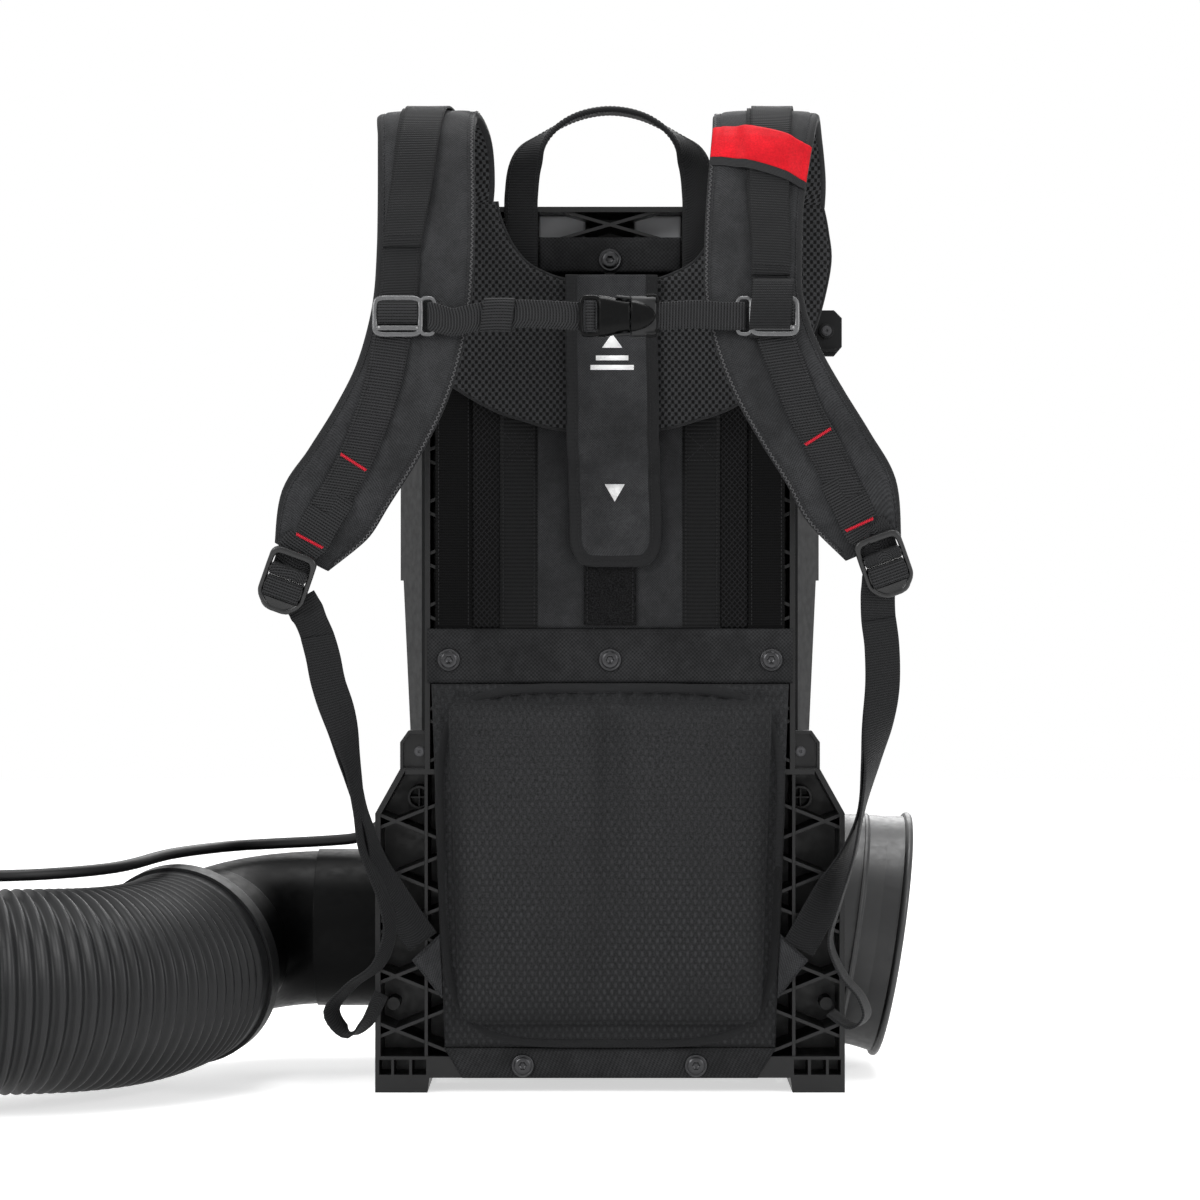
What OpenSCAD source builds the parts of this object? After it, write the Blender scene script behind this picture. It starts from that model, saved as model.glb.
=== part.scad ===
/* [Frame] */
// Width of the lower frame over its side walls
frame_w = 350; // [346:1:356]
// Height of the frame at its top bar
frame_h = 660; // [656:1:670]
// Depth of the frame from its front edge to its back sheet
frame_d = 55; // [50:1:58]
// Thickness of the moulded walls
wall = 4; // [3:0.5:4.5]
// Thickness of the stiffening ribs
rib = 2.5; // [2:0.5:3.5]
// Height of the feet under the bottom rail
foot_h = 11; // [8:1:14]

/* [Fan] */
// Outer diameter of the fan duct
duct_d = 170; // [160:1:172]
// Thickness of the duct wall
duct_wall = 4; // [3:0.5:5]
// Number of fan blades
blade_count = 9; // [5:1:11]
// Gap between the blade tips and the duct
tip_gap = 1.5; // [1:0.25:3]
// Outer diameter of the motor can
motor_d = 60; // [50:1:64]
// Diameter of the motor shaft
shaft_d = 10; // [8:1:12]
// Outer diameter of the lip of the inlet bell
bell_d = 193; // [188:1:196]

/* [Air tube] */
// Outer diameter of the outlet elbow
pipe_d = 120; // [112:1:124]
// Outer diameter of the bellows hose
hose_d = 148; // [140:1:150]
// Outer diameter of the control tube
tube_d = 100; // [94:1:104]
// Wall thickness of the elbow, the tube and the nozzle
pipe_wall = 3; // [2:0.5:3.5]
// Outer diameter of the nozzle at its mouth
mouth_d = 78; // [72:1:82]
// Length of the nozzle
nozzle_l = 390; // [340:5:400]

/* [Battery] */
// Width of one battery pack
pack_w = 86; // [78:1:92]
// Depth of one battery pack
pack_d = 74; // [68:1:80]
// Height of one battery pack
pack_h = 136; // [125:1:140]
// Sliding clearance of the packs on their rails
slide_gap = 0.5; // [0.3:0.1:0.8]

/* [Harness] */
// Width of the shoulder pads
pad_w = 70; // [64:1:72]
// Thickness of the shoulder pads
pad_t = 13; // [10:1:15]
// Width of the webbing sewn along the shoulder pads
web_w = 30; // [25:1:32]
// Thickness of the webbing
web_t = 1.8; // [1.2:0.2:2.2]
// Width of the lower adjusting webbing
lower_web_w = 25; // [20:1:26]
// Width of the sternum strap
sternum_w = 20; // [16:1:22]
// Thickness of the lumbar pad
lumbar_t = 22; // [16:1:26]
// Diameter of the screw heads that hold the harness
washer_d = 17; // [14:0.5:19]

/* [Handle] */
// Width of the handle over both shells
grip_w = 34; // [30:1:38]
// Diameter of the control cable
cable_d = 8.5; // [7:0.5:9.5]
// Angle the trigger turns when it is pulled
trigger_turn = 14; // [8:1:14]

/* [Hidden] */
$fn = 64;
fit = 0.3;       // gap where one piece slides over or into another
eps = 0.01;      // overlap of tools that cut through a face

// ---- Frame layout, in the plane of the frame's front edges (Y = 0) ----
half_w = frame_w / 2;
upper_half = 138;        // half width of the narrow upper frame
side_top = 208;          // where the side walls turn inwards
shoulder_in = 18.5;      // how far they turn in
shoulder_top = 241;      // height of the shoulder ledge
lug_top = 269.5;         // top of the two screw lugs on the shoulders
lug_in = 134;            // inner edge of those lugs
rail_top = 27;           // top of the bottom rail
top_bar_h = 26;          // height of the top bar
rib_pitch = 38.7;        // vertical pitch of the crossing ribs
rib_slope = 21.8;        // angle of the crossing ribs
cross_x = 160;           // where the ribs of the side pockets cross
inner_rib = 137;         // upright rib beside the lumbar pad
foot_in = 39;            // width of one foot
skid_d = 250;            // how far back the feet run
sheet_y = frame_d - wall;  // front face of the back sheet

// ---- Fan and duct, on one axis along X ----
fan_y = 155;
fan_z = 109;
duct_r = duct_d / 2;
duct_ri = duct_r - duct_wall;
saddle_top = fan_z - 57;     // top of the saddles that carry the duct
duct_left = -90;
duct_right = 172;
cone_end = -150;
motor_r = motor_d / 2;
motor_left = -34;
motor_right = 46;
bearing_w = 7;
bearing_r = 13;
shaft_r = shaft_d / 2;
hub_wall = 2.5;
hub_gap = 0.4;
hub_r = motor_r + hub_gap + hub_wall;
impeller_x = 58;
impeller_l = 44;
bell_tilt = 8.6;
bell_start = 187;
bell_l = 34;
bell_bead = 3;

// ---- Outlet elbow: a straight pipe, a bend in a tilted plane, and a spigot ----
pipe_r = pipe_d / 2;
sleeve_r = pipe_r + 1.5; // straight sleeves at both ends of the bend
sleeve_lap = 10;         // how far they run over the bend
elbow_x = -219;
elbow_bend_r = 95;
elbow_turn = 70;
elbow_roll = 10.4;
spigot_l = 50;
bend_in = elbow_bend_r * (1 - cos(elbow_turn));
spigot_dir = [-cos(elbow_turn), -sin(elbow_turn) * cos(elbow_roll),
              -sin(elbow_turn) * sin(elbow_roll)];
bend_end = [elbow_x - elbow_bend_r * sin(elbow_turn), fan_y - bend_in * cos(elbow_roll),
            fan_z - bend_in * sin(elbow_roll)];
hose_start = bend_end + spigot_l * spigot_dir;
collar_l = 12;
hose_r = hose_d / 2;
hose_wall = 5;
hose_handle = 90;        // how far each end of the hose runs on straight
hose_rings = 24;
hose_sides = 28;

// ---- Wand: everything beyond the hose, on its own axis ----
wand_root = [-505, -100, 84];
wand_drop = 3.5;
cuff_l = 50;
tube_r = tube_d / 2;
tube_l = 300;
tube_start = 28;
mouth_r = mouth_d / 2;
nozzle_lap = 30;
tip_l = 22;
nozzle_start = tube_start + tube_l - nozzle_lap;
nozzle_end = nozzle_start + nozzle_l;
wand_dir = [-cos(wand_drop), 0, -sin(wand_drop)];
function wand_point(up, across, along) =
    wand_root + [-up * sin(wand_drop) - along * cos(wand_drop), across,
                 up * cos(wand_drop) - along * sin(wand_drop)];

// ---- Handle, in the wand's axes: along the tube and up from it ----
saddle_up = tube_r + 6;
grip_from = 100;
cable_up = saddle_up + 10;
pivot_along = 136;
pivot_up = 158;
pin_r = 2;
lever_up = 176;
lever_along = 122;
lever_r = 11;
button_r = 8;
button_along = 160;
button_travel = 2.5;
grip_top = 190;
trigger_w = 12;
lever_t = 5;

// ---- Battery bays on the rear cover ----
pack_x = 66;
cover_y = 150;
cover_back = cover_y + wall;
bay_z = 428;
rail_head_w = 34;
rail_neck_w = 20;
rail_neck_d = 5;
rail_head_d = 4;
rail_l = 110;
pack_front = cover_back + slide_gap;
blade_h = 22;
block_w = 28;            // terminal block of one bay
block_d = 16;
block_in = 26;           // from the front of the pack to the block
release_low = 40;        // from the top of the pack to the bottom of its release button
release_w = 30;
release_h = 12;
release_travel = 3;
release_t = 6;
housing_low = 215;
housing_seam = 382;
housing_top = frame_h - 10;
housing_half = 161;
housing_foot = housing_half - 11;     // half width at its lower edge
housing_waist = housing_half - 2.5;   // half width where the lower part begins
side_screw_x = housing_half + 4;      // screws of the side lugs
board_screws = [housing_top - 180, housing_top - 60];  // heights of the board's screws
board_y = frame_d + wall + 12;        // front face of the circuit board
side_screw_z = housing_top - 78;

// ---- Harness layers, measured forwards from the frame ----
band_t = 2.5;
top_band_half = 50;
middle_half = 136;
panel_t = 2;
panel_half = 134;
panel_low = 346;         // lower edge of the back panel, over the middle band
hook_half = 20;
hook_t = 1.5;
lumbar_low = 34.5;
lumbar_high = 304.5;
lumbar_base_t = 6;       // thickness of the flat base under the lobes
yoke_back = -7.5;
yoke_t = 15;
head_t = 3;
head_back = -band_t;
screw_r = 3;
small_screw_r = 2;
flap_w = 67;
flap_t = 3.6;
seam_gap = 0.2;

// Screws of the harness bands: [x, z]
top_screw_z = frame_h - 40;
band_screws = [[0, top_screw_z], [-120, 322.5], [0, 322.5], [120, 322.5], [-65, 20.5], [64, 20.5]];

// Shoulder pads, from the yoke over the top and down the front: [x, y, z, webbing shift, width]
left_pad_rows = [
    [-122, -15, 656, 0, 1], [-122, -16, 676, 0, 1.05], [-124, -24, 702, 0, 1.05],
    [-133, -48, 718, -2, 1.05],
    [-133, -78, 700, -6, 1], [-132, -95, 654, -12, 1], [-132, -106, 616, -17, 1],
    [-134, -113, 580, -17, 1], [-140, -117, 548, -16, 1], [-150, -119, 517, -13, 1],
    [-166, -118, 486, -10, 1], [-186, -113, 455, -6, 1], [-204, -108, 428, -5, 1],
    [-221, -102, 398, -3, 0.62]
];
right_pad_rows = [
    [124, -15, 656, 0, 1], [126, -16, 676, 0, 1.05], [122, -24, 702, 0, 1.1],
    [114, -48, 718, 1, 1.1],
    [110, -78, 700, 3, 1.05], [104, -95, 654, 8, 1], [102, -106, 616, 12, 1],
    [102, -113, 584, 12, 1], [108, -118, 556, 8, 1], [119, -120, 528, 7, 1],
    [136, -119, 498, 3, 1], [155, -115, 468, 2, 1], [172, -110, 438, 4, 1],
    [188, -104, 404, 4, 0.62]
];
// Ladder locks: [middle, roll in the front view]; both lean back at the foot by lock_tilt
left_lock = [[-231.5, -112.3, 380], 20];
right_lock = [[195.7, -114.8, 391.6], -20];
lock_tilt = 10;
lock_t = 6;
lock_w = lower_web_w + 10;
lock_half_h = 23.5;
lock_bar = [5, 9];           // bar that the shoulder webbing is looped round
lock_low_bar = [-11, -3];    // bar that the adjusting webbing is looped round
// A point of a lock, given in the lock's own depth and height
function lock_point(lock, y, z) = let (a = lock_tilt, b = lock[1], up = y * sin(a) + z * cos(a))
    lock[0] + [up * sin(b), y * cos(a) - z * sin(a), up * cos(b)];
// A row of webbing lying against the back of a lock
function behind_lock(lock, x, z) =
    let (a = lock_tilt, b = lock[1], c = lock[0], d = lock_t / 2 + 2 * fit + web_t / 2,
         y = c[1] + (d - sin(a) * (sin(b) * (x - c[0]) + cos(b) * (z - c[2]))) / cos(a))
    [x, y, z, 0, b];
// Adjusting webbing from the locks down to the frame: [x, y, z, how far it has turned edge-on,
// roll in the front view]
left_lower_rows = concat([behind_lock(left_lock, -222.5, 368), behind_lock(left_lock, -218.5, 361),
    behind_lock(left_lock, -215, 354)], [
    [-210, -98, 341, 0, 12], [-205.5, -90.5, 326, 0, 3], [-200, -83.5, 306, 0, 0],
    [-195, -74, 277, 0, 0], [-191, -62, 249, 0, 0], [-186, -51, 223, 0, 0], [-180, -42, 200, 0, 0],
    [-172, -30, 165, 0, 0], [-160, -14, 135, 0, 0], [-146, -6, 115, 0, 0]
]);
right_lower_rows = concat([behind_lock(right_lock, 192, 384), behind_lock(right_lock, 191.5, 376),
    behind_lock(right_lock, 191, 368)], [
    [192, -101, 353, 0, -12], [194, -93, 333, 0, -3], [194, -83, 305, 0, 0],
    [193, -73, 277, 0, 0], [190, -62, 250, 0, 0], [184, -46, 213, 0, 0],
    [177, -32, 179, 0, 0], [166, -18, 145, 0, 0], [147, -6, 115, 0, 0]
]);
// Free tails of that webbing, below the point where they leave its front
left_tail_rows = [
    [-183, -59.5, 215, 0.5, 0], [-180, -54, 186, 1, 0], [-167, -42, 150, 1, 0],
    [-162, -36, 124, 1, 0], [-170, -38, 100, 1, 0], [-190, -42, 84, 1, 0], [-204, -44, 66, 1, 0],
    [-192, -44, 50, 1, 0], [-178, -40, 58, 1, 0], [-168, -36, 78, 1, 0]
];
right_tail_rows = [
    [184, -58, 214, 0.5, 0], [178, -48, 178, 1, 0], [168, -37, 142, 1, 0], [163, -32, 116, 1, 0],
    [172, -34, 92, 1, 0], [186, -38, 76, 1, 0], [190, -40, 62, 1, 0], [180, -38, 54, 1, 0],
    [164, -34, 64, 1, 0]
];
tail_first = 3;              // row of the lower webbing where its tail comes to the front
tail_last = 7;               // row where the tail leaves it
// Carry handle: [x, y, height over the frame's top, how far the webbing has turned edge-on]
carry_rows = [
    [-66, -2.6, -48, 0], [-66, -2.6, -16, 0], [-66, -3.5, 8, 0], [-62, -6, 32, 0.25],
    [-48, -9, 51, 0.7], [-26, -10, 65, 0.95], [0, -10, 70, 1], [26, -10, 65, 0.95],
    [48, -9, 51, 0.7], [62, -6, 32, 0.25], [66, -3.5, 8, 0], [66, -2.6, -16, 0],
    [66, -2.6, -48, 0]
];
// Control cable from its gland to the handle; the last point is worked out on the handle
cable_rows = [
    [-177.3, 140, 190], [-181, 140, 190], [-196, 140, 181], [-222, 140, 178], [-262, 138, 176],
    [-298, 118, 175], [-334, 52, 174], [-366, -16, 169], [-420, -74, 168],
    [-498, -98, 168], [-532, -100, 163], [-566, -100, 150]
];
gland_x = -(housing_half + 1);
gland_y = 140;
gland_z = 190;
gland_l = 15;
slider_z = 568;
// Sliders against the shoulder webbing: [x, y of the back face, lean]
left_slider = [-151, -123.8, -7.4];
right_slider = [116, -125.3, -9.9];
slider_t = 3;
strap_y = -129.5;
buckle_x = 6;
buckle_z = 568;

// ---- Functions ----
function unit(v) = v / norm(v);
function xyz(row) = [row[0], row[1], row[2]];
function curve_point(a, b, c, d, t) =
    0.5 * (2 * b + (c - a) * t + (2 * a - 5 * b + 4 * c - d) * t * t
           + (3 * b - a - 3 * c + d) * t * t * t);
// A smooth run of rows through the given ones, steps to each stretch
function smooth(rows, steps) = [
    for (i = [0:len(rows) - 2]) for (k = [0:steps - 1])
        curve_point(rows[max(i - 1, 0)], rows[i], rows[i + 1],
                    rows[min(i + 2, len(rows) - 1)], k / steps),
    rows[len(rows) - 1]
];
function direction(rows, i) =
    unit(xyz(rows[min(i + 1, len(rows) - 1)]) - xyz(rows[max(i - 1, 0)]));
// Point and heading on a Bezier curve with its two handles
function bezier_point(a, b, c, d, t) = let (u = 1 - t)
    u * u * u * a + 3 * u * u * t * b + 3 * u * t * t * c + t * t * t * d;
function bezier_heading(a, b, c, d, t) = let (u = 1 - t)
    unit(u * u * (b - a) + 2 * u * t * (c - b) + t * t * (d - c));
// Cross sections as [inward, sideways], in turning order
function flat_section(w, t) = [[t / 2, w / 2], [-t / 2, w / 2], [-t / 2, -w / 2], [t / 2, -w / 2]];
function soft_section(w, t) = let (c = t * 0.35) [
    [t / 2, w / 2 - c], [t / 2 - c, w / 2], [-t / 2 + c, w / 2], [-t / 2, w / 2 - c],
    [-t / 2, -w / 2 + c], [-t / 2 + c, -w / 2], [t / 2 - c, -w / 2], [t / 2, -w / 2 + c]
];
function round_section(r, sides) =
    [for (k = [0:sides - 1]) r * [cos(360 * k / sides), sin(360 * k / sides)]];
// One ring: a section laid across the run at row i, moved by lift inwards and shift sideways
function ring_at(centre, t, section, side, lift, shift) =
    let (n = unit(cross(side, t)), w = cross(t, n))
    [for (p = section) centre + (p[0] + lift) * n + (p[1] + shift) * w];
function ring(rows, i, section, side, lift, shift) =
    ring_at(xyz(rows[i]), direction(rows, i), section, side, lift, shift);
// ---- Helpers ----
// A solid skinned over rings with the same number of points
module skin(rings) {
    n = len(rings[0]);
    last = len(rings) - 1;
    polyhedron(
        points = [for (r = rings) for (p = r) p],
        faces = concat(
            [[for (j = [0:n - 1]) j]],
            [for (i = [0:last - 1]) for (j = [0:n - 1])
                [i * n + j, (i + 1) * n + j, (i + 1) * n + (j + 1) % n]],
            [for (i = [0:last - 1]) for (j = [0:n - 1])
                [i * n + j, (i + 1) * n + (j + 1) % n, i * n + (j + 1) % n]],
            [[for (j = [n - 1:-1:0]) last * n + j]]
        )
    );
}
// Flat webbing along rows of [x, y, z], its width along side
module webbing(rows, width, side) {
    run = smooth(rows, 3);
    skin([for (i = [0:len(run) - 1]) ring(run, i, flat_section(width, web_t), side, 0, 0)]);
}
// Flat webbing along rows of [x, y, z, turn edge-on, roll]
module turning_webbing(rows, width) {
    run = smooth(rows, 3);
    skin([for (i = [0:len(run) - 1]) let (u = run[i][3], b = run[i][4])
        ring(run, i, flat_section(width, web_t), [(1 - u) * cos(b), u, -(1 - u) * sin(b)], 0, 0)]);
}
// A plate standing in the XZ plane between two depths
module plate(y_front, y_back, points) {
    translate([0, y_back, 0])
        rotate([90, 0, 0])
            linear_extrude(y_back - y_front)
                polygon(points);
}
// Moves a piece from the drawing's frame, whose Y = 0 is the frame's front edge, to the
// part's own origin: the middle of the footprint, on the floor
module placed() {
    translate([0, -skid_d / 2, 0]) children();
}
module both_sides() {
    children();
    mirror([1, 0, 0]) children();
}
// A box given by its two corners
module box(low, high) {
    translate(low) cube(high - low);
}
// Children drawn along +Z are laid along the fan's axis, from x towards +X
module on_fan_axis(x) {
    translate([x, fan_y, fan_z]) rotate([0, 90, 0]) children();
}
// Children drawn along +Z are laid along the wand
module on_wand() {
    translate(wand_root) rotate([0, -(90 + wand_drop), 0]) children();
}
module pipe(outer, inner, length) {
    difference() {
        cylinder(r = outer, h = length);
        translate([0, 0, -eps]) cylinder(r = inner, h = length + 2 * eps);
    }
}
// A cylinder along +Y from y for length
module along_y(x, y, z, r, length) {
    translate([x, y, z]) rotate([-90, 0, 0]) cylinder(r = r, h = length);
}

// ---- Frame ----
// Right half of the lower frame's outline, moved in by inset
function lower_half(inset) = [
    [0, foot_h + inset], [half_w - inset, foot_h + inset],
    [half_w - inset, side_top - inset * 0.26],
    [half_w - shoulder_in - inset, shoulder_top - inset * 0.26],
    [half_w - shoulder_in - inset, shoulder_top - inset], [0, shoulder_top - inset]
];
module side_ribs() {
    intersection() {
        for (row = [[202, 1], [162.5, 0], [123.7, 1], [86.4, 1], [46.2, 1]])
            for (turn = [-1, 1])
                translate([cross_x, 0, row[0]])
                    rotate([0, turn * rib_slope, 0])
                        translate([-72, 2, -rib / 2])
                            cube([row[1] == 1 ? 90 : 72, sheet_y - 1.9, rib]);
        plate(1, frame_d - 1, [[100, rail_top - 1], [half_w - 1, rail_top - 1],
            [half_w - 1, side_top], [half_w - shoulder_in - 1, shoulder_top - 1],
            [100, shoulder_top - 1]]);
    }
}
module lower_frame_side() {
    // outer wall with its shoulder, the ledge and the bottom rail
    difference() {
        plate(0, frame_d - 1, lower_half(0));
        plate(-1, frame_d, concat([[95, rail_top]], [[half_w - wall, rail_top]],
            [for (k = [2:4]) lower_half(wall)[k]], [[95, shoulder_top - wall]]));
        box([-1, -1, foot_h - 1], [95 + eps, frame_d, shoulder_top + 1]);
        for (x = [[137, 147.5], [149.7, 161], [163, half_w - 3]])
            box([x[0], -1, foot_h + 2.3], [x[1], 30, rail_top - 2.5]);
    }
    for (x = [98, inner_rib])
        box([x - rib / 2, 1, rail_top - 1], [x + rib / 2, sheet_y + 1, shoulder_top - 1]);
    side_ribs();
    // ringed hole with a cross rib, and a small boss
    translate([143.8, 30, 218.3]) rotate([-90, 0, 0]) pipe(8.8, 6.8, sheet_y - 29);
    box([143.8 - 7, 32, 217.6], [143.8 + 7, sheet_y + 1, 219]);
    box([143.1, 32, 218.3 - 7], [144.5, sheet_y + 1, 218.3 + 7]);
    along_y(163, 28, 63, 5, sheet_y - 27);
    // screw lug with a raised edge
    difference() {
        plate(2, 16, [[lug_in, shoulder_top - 1], [half_w - shoulder_in, shoulder_top - 1],
            [half_w - shoulder_in, 261], [half_w - shoulder_in - 6, lug_top], [lug_in, lug_top]]);
        plate(-1, 8, [[lug_in - 1, shoulder_top + 1], [half_w - shoulder_in - 2.2, shoulder_top + 1],
            [half_w - shoulder_in - 2.2, 260], [half_w - shoulder_in - 7, lug_top - 2.4],
            [lug_in - 1, lug_top - 2.4]]);
        along_y(142.3, 0, 254, small_screw_r + 0.1, 40);
    }
    // foot, and the skid that carries it back under the fan
    plate(0, skid_d, [[half_w - foot_in, 0], [half_w, 0], [half_w, foot_h + eps],
        [half_w - foot_in - 1.5, foot_h + eps]]);
}
module upper_frame_ribs() {
    rows = [-1:10];
    intersection() {
        for (k = rows) for (turn = [-1, 1])
            translate([0, 2, 262 + rib_pitch * k])
                rotate([0, turn * rib_slope, 0])
                    translate([-150, 0, -rib / 2]) cube([300, sheet_y - 1.9, rib]);
        box([-upper_half + 1, 1, shoulder_top - 2], [upper_half - 1, frame_d - 1, frame_h - top_bar_h + 1]);
    }
}
module top_bar() {
    bar_low = frame_h - top_bar_h;
    difference() {
        box([-upper_half, 0, bar_low], [upper_half, frame_d - 1, frame_h]);
        box([-upper_half + wall, -1, bar_low + 3], [upper_half - wall, sheet_y, frame_h - wall]);
    }
    intersection() {
        for (x = [-92, 0, 92]) for (turn = [-1, 1])
            translate([x, 3, bar_low + top_bar_h / 2])
                rotate([0, turn * 16, 0])
                    translate([-60, 0, -rib / 2]) cube([120, sheet_y - 2, rib]);
        box([-upper_half + 1, 0, bar_low + 1], [upper_half - 1, frame_d - 1, frame_h - 1]);
    }
    // two grey stiffening panels inside the bar
    both_sides()
        plate(24, 28, [[18, frame_h - wall + 1], [18, bar_low + 8], [24, bar_low + 2], [54, bar_low + 2],
            [54, frame_h - wall + 1]]);
}
// Saddles that hold the duct on the skids behind the frame
module duct_cradles() {
    difference() {
        for (x = [-70, 120])
            box([x, sheet_y, foot_h - 6], [x + 8, skid_d, saddle_top]);
        on_fan_axis(duct_left) cylinder(r = duct_r + 0.05, h = duct_right - duct_left);
    }
    for (y = [skid_d / 2, skid_d - 6])
        box([-half_w + 20, y - 5, 0], [half_w - 20, y + 5, foot_h - 2]);
}
module back_frame() {
    color("#1b1c1d") placed() difference() {
        union() {
            both_sides() lower_frame_side();
            // bottom rail and shoulder ledge across the middle
            box([-96, 0, foot_h], [96, frame_d - 1, rail_top]);
            box([-96, 1, shoulder_top - wall], [96, frame_d - 1, shoulder_top]);
            plate(sheet_y, frame_d, concat(lower_half(0),
                [for (k = [5:-1:0]) [-lower_half(0)[k][0], lower_half(0)[k][1]]]));
            box([-upper_half, sheet_y, shoulder_top - 2], [upper_half, frame_d, frame_h - 2]);
            both_sides()
                box([upper_half - wall, 0, shoulder_top - 2], [upper_half, frame_d - 1, frame_h - 2]);
            upper_frame_ribs();
            top_bar();
            for (s = band_screws) along_y(s[0], 0, s[1], 9, frame_d - 1);
            duct_cradles();
        }
        for (s = band_screws) along_y(s[0], -1, s[1], screw_r + 0.05, 24);
    }
}
// ---- Housing behind the frame ----
function housing_outline(inset) = let (h = housing_half - inset, front = housing_half - 18 - inset * 0.6) [
    [-h, cover_y], [-h, 88 + inset * 0.5], [-front, frame_d + inset],
    [front, frame_d + inset], [h, 88 + inset * 0.5], [h, cover_y]
];
module housing_body(inset) {
    translate([0, 0, housing_seam])
        linear_extrude(housing_top - housing_seam - inset) polygon(housing_outline(inset));
    intersection() {
        translate([0, 0, housing_low + inset])
            linear_extrude(housing_seam - housing_low - inset + eps) polygon(housing_outline(inset));
        plate(frame_d - 1, cover_y + 1, [[inset - housing_waist, housing_seam + eps],
            [inset - housing_foot, housing_low], [housing_foot - inset, housing_low],
            [housing_waist - inset, housing_seam + eps]]);
    }
}
module rear_housing() {
    color("#26282a") placed() difference() {
        union() {
            difference() {
                housing_body(0);
                translate([0, eps, 0]) housing_body(wall);
                box([-housing_half - 1, cover_y - eps, housing_low - 1],
                    [housing_half + 1, cover_y + wall, housing_top + 1]);
            }
            // side lugs with a screw boss
            both_sides() {
                translate([side_screw_x, 0, side_screw_z]) {
                    plate(62, 68, [[-15, -19], [6, -19], [12, -12], [12, 10], [6, 16], [-15, 16]]);
                    along_y(0, 58, 0, 5.5, 6);
                    box([-15, 58, -16], [8, 63, -13.6]);
                }
            }
            // block for the cable gland, under the left corner
            box([gland_x, 127, gland_z - 12], [gland_x + 24, cover_y - 0.2, housing_low + wall]);
            // standoffs for the control board
            for (x = [-80, 80]) for (z = board_screws) along_y(x, frame_d + wall - 1, z, 5, 13);
        }
        both_sides() along_y(side_screw_x, 50, side_screw_z, small_screw_r + 0.1, 30);
    }
}
module rear_cover() {
    color("#222426") placed() {
        difference() {
            plate(cover_y, cover_back, [[-housing_half, housing_top], [-housing_half, housing_seam],
                [-housing_waist, housing_seam], [-housing_foot, housing_low],
                [housing_foot, housing_low], [housing_waist, housing_seam],
                [housing_half, housing_seam], [housing_half, housing_top]]);
            for (k = [0:5]) box([-60, cover_y - 1, 245 + 12 * k], [60, cover_back + 1, 250 + 12 * k]);
        }
        for (side = [-1, 1]) {
            x = side * pack_x;
            // T rail
            head_y = cover_back + rail_neck_d;
            box([x - rail_neck_w / 2, cover_y + 1, bay_z],
                [x + rail_neck_w / 2, head_y + 1, bay_z + rail_l]);
            box([x - rail_head_w / 2, head_y, bay_z],
                [x + rail_head_w / 2, head_y + rail_head_d, bay_z + rail_l]);
        }
        // shelf under both packs, with a rim and three gussets
        rim_y = pack_front + pack_d + 1;
        shelf_half = pack_x + pack_w / 2 + 5;
        box([-shelf_half, cover_y + 1, bay_z - 8], [shelf_half, rim_y + 3, bay_z]);
        box([-shelf_half, rim_y, bay_z - 1], [shelf_half, rim_y + 3, bay_z + 14]);
        for (x = [-shelf_half, -1.5, shelf_half - 3])
            translate([x, 0, 0]) rotate([90, 0, 90]) linear_extrude(3)
                polygon([[cover_y + 1, bay_z - 60], [rim_y, bay_z - 7], [cover_y + 1, bay_z - 7]]);
    }
}
module control_board() {
    color("#1f5a3a") placed() difference() {
        box([-95, board_y, board_screws[0] - 15], [95, board_y + 1.6, board_screws[1] + 15]);
        for (x = [-80, 80]) for (z = board_screws) along_y(x, frame_d, z, 1.6, 40);
    }
    color("#2b2b2b") placed() for (x = [-50, 10, 55])
        box([x, board_y + 1.6, board_screws[0] + 20], [x + 26, board_y + 18, board_screws[0] + 60]);
}
module terminal_blocks() {
    for (side = [-1, 1]) {
        x = side * pack_x;
        color("#303234") placed()
            box([x - block_w / 2, pack_front + block_in, bay_z],
                [x + block_w / 2, pack_front + block_in + block_d, bay_z + 5]);
        color("#b9a26a") placed() for (k = [-1.5:1:1.5])
            box([x + 6 * k - 0.5, pack_front + block_in + 2, bay_z + 5],
                [x + 6 * k + 0.5, pack_front + block_in + block_d - 2, bay_z + blade_h]);
    }
}
module battery_pack(side) {
    x = side * pack_x;
    y = pack_front;
    g = slide_gap;
    color("#232425") placed() difference() {
        union() {
            box([x - pack_w / 2, y, bay_z], [x + pack_w / 2, y + pack_d, bay_z + pack_h - 14]);
            box([x - pack_w / 2 + 5, y + 5, bay_z + pack_h - 15],
                [x + pack_w / 2 - 5, y + pack_d - 5, bay_z + pack_h]);
        }
        // slot for the T rail, open at the bottom
        box([x - rail_neck_w / 2 - g, y - 1, bay_z - 1],
            [x + rail_neck_w / 2 + g, y + rail_neck_d, bay_z + rail_l + g]);
        box([x - rail_head_w / 2 - g, y + rail_neck_d - 2 * g, bay_z - 1],
            [x + rail_head_w / 2 + g, y + rail_neck_d + rail_head_d, bay_z + rail_l + g]);
        // recess that takes the terminal block and its blades
        box([x - block_w / 2 - g, y + block_in - g, bay_z - 1],
            [x + block_w / 2 + g, y + block_in + block_d + g, bay_z + blade_h + g]);
        // recess of the release button
        low = bay_z + pack_h - release_low;
        box([x - release_w / 2 - g, y + pack_d - release_t - release_travel - g, low - g],
            [x + release_w / 2 + g, y + pack_d + 1, low + release_h + g]);
    }
}
module battery_left() { battery_pack(-1); }
module battery_right() { battery_pack(1); }
module battery_release(side) {
    x = side * pack_x;
    y = pack_front + pack_d;
    low = bay_z + pack_h - release_low;
    color("#b3202a") placed()
        box([x - release_w / 2, y - release_t, low],
            [x + release_w / 2, y + release_travel - 0.5, low + release_h]);
}
module battery_release_left() { battery_release(-1); }
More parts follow.
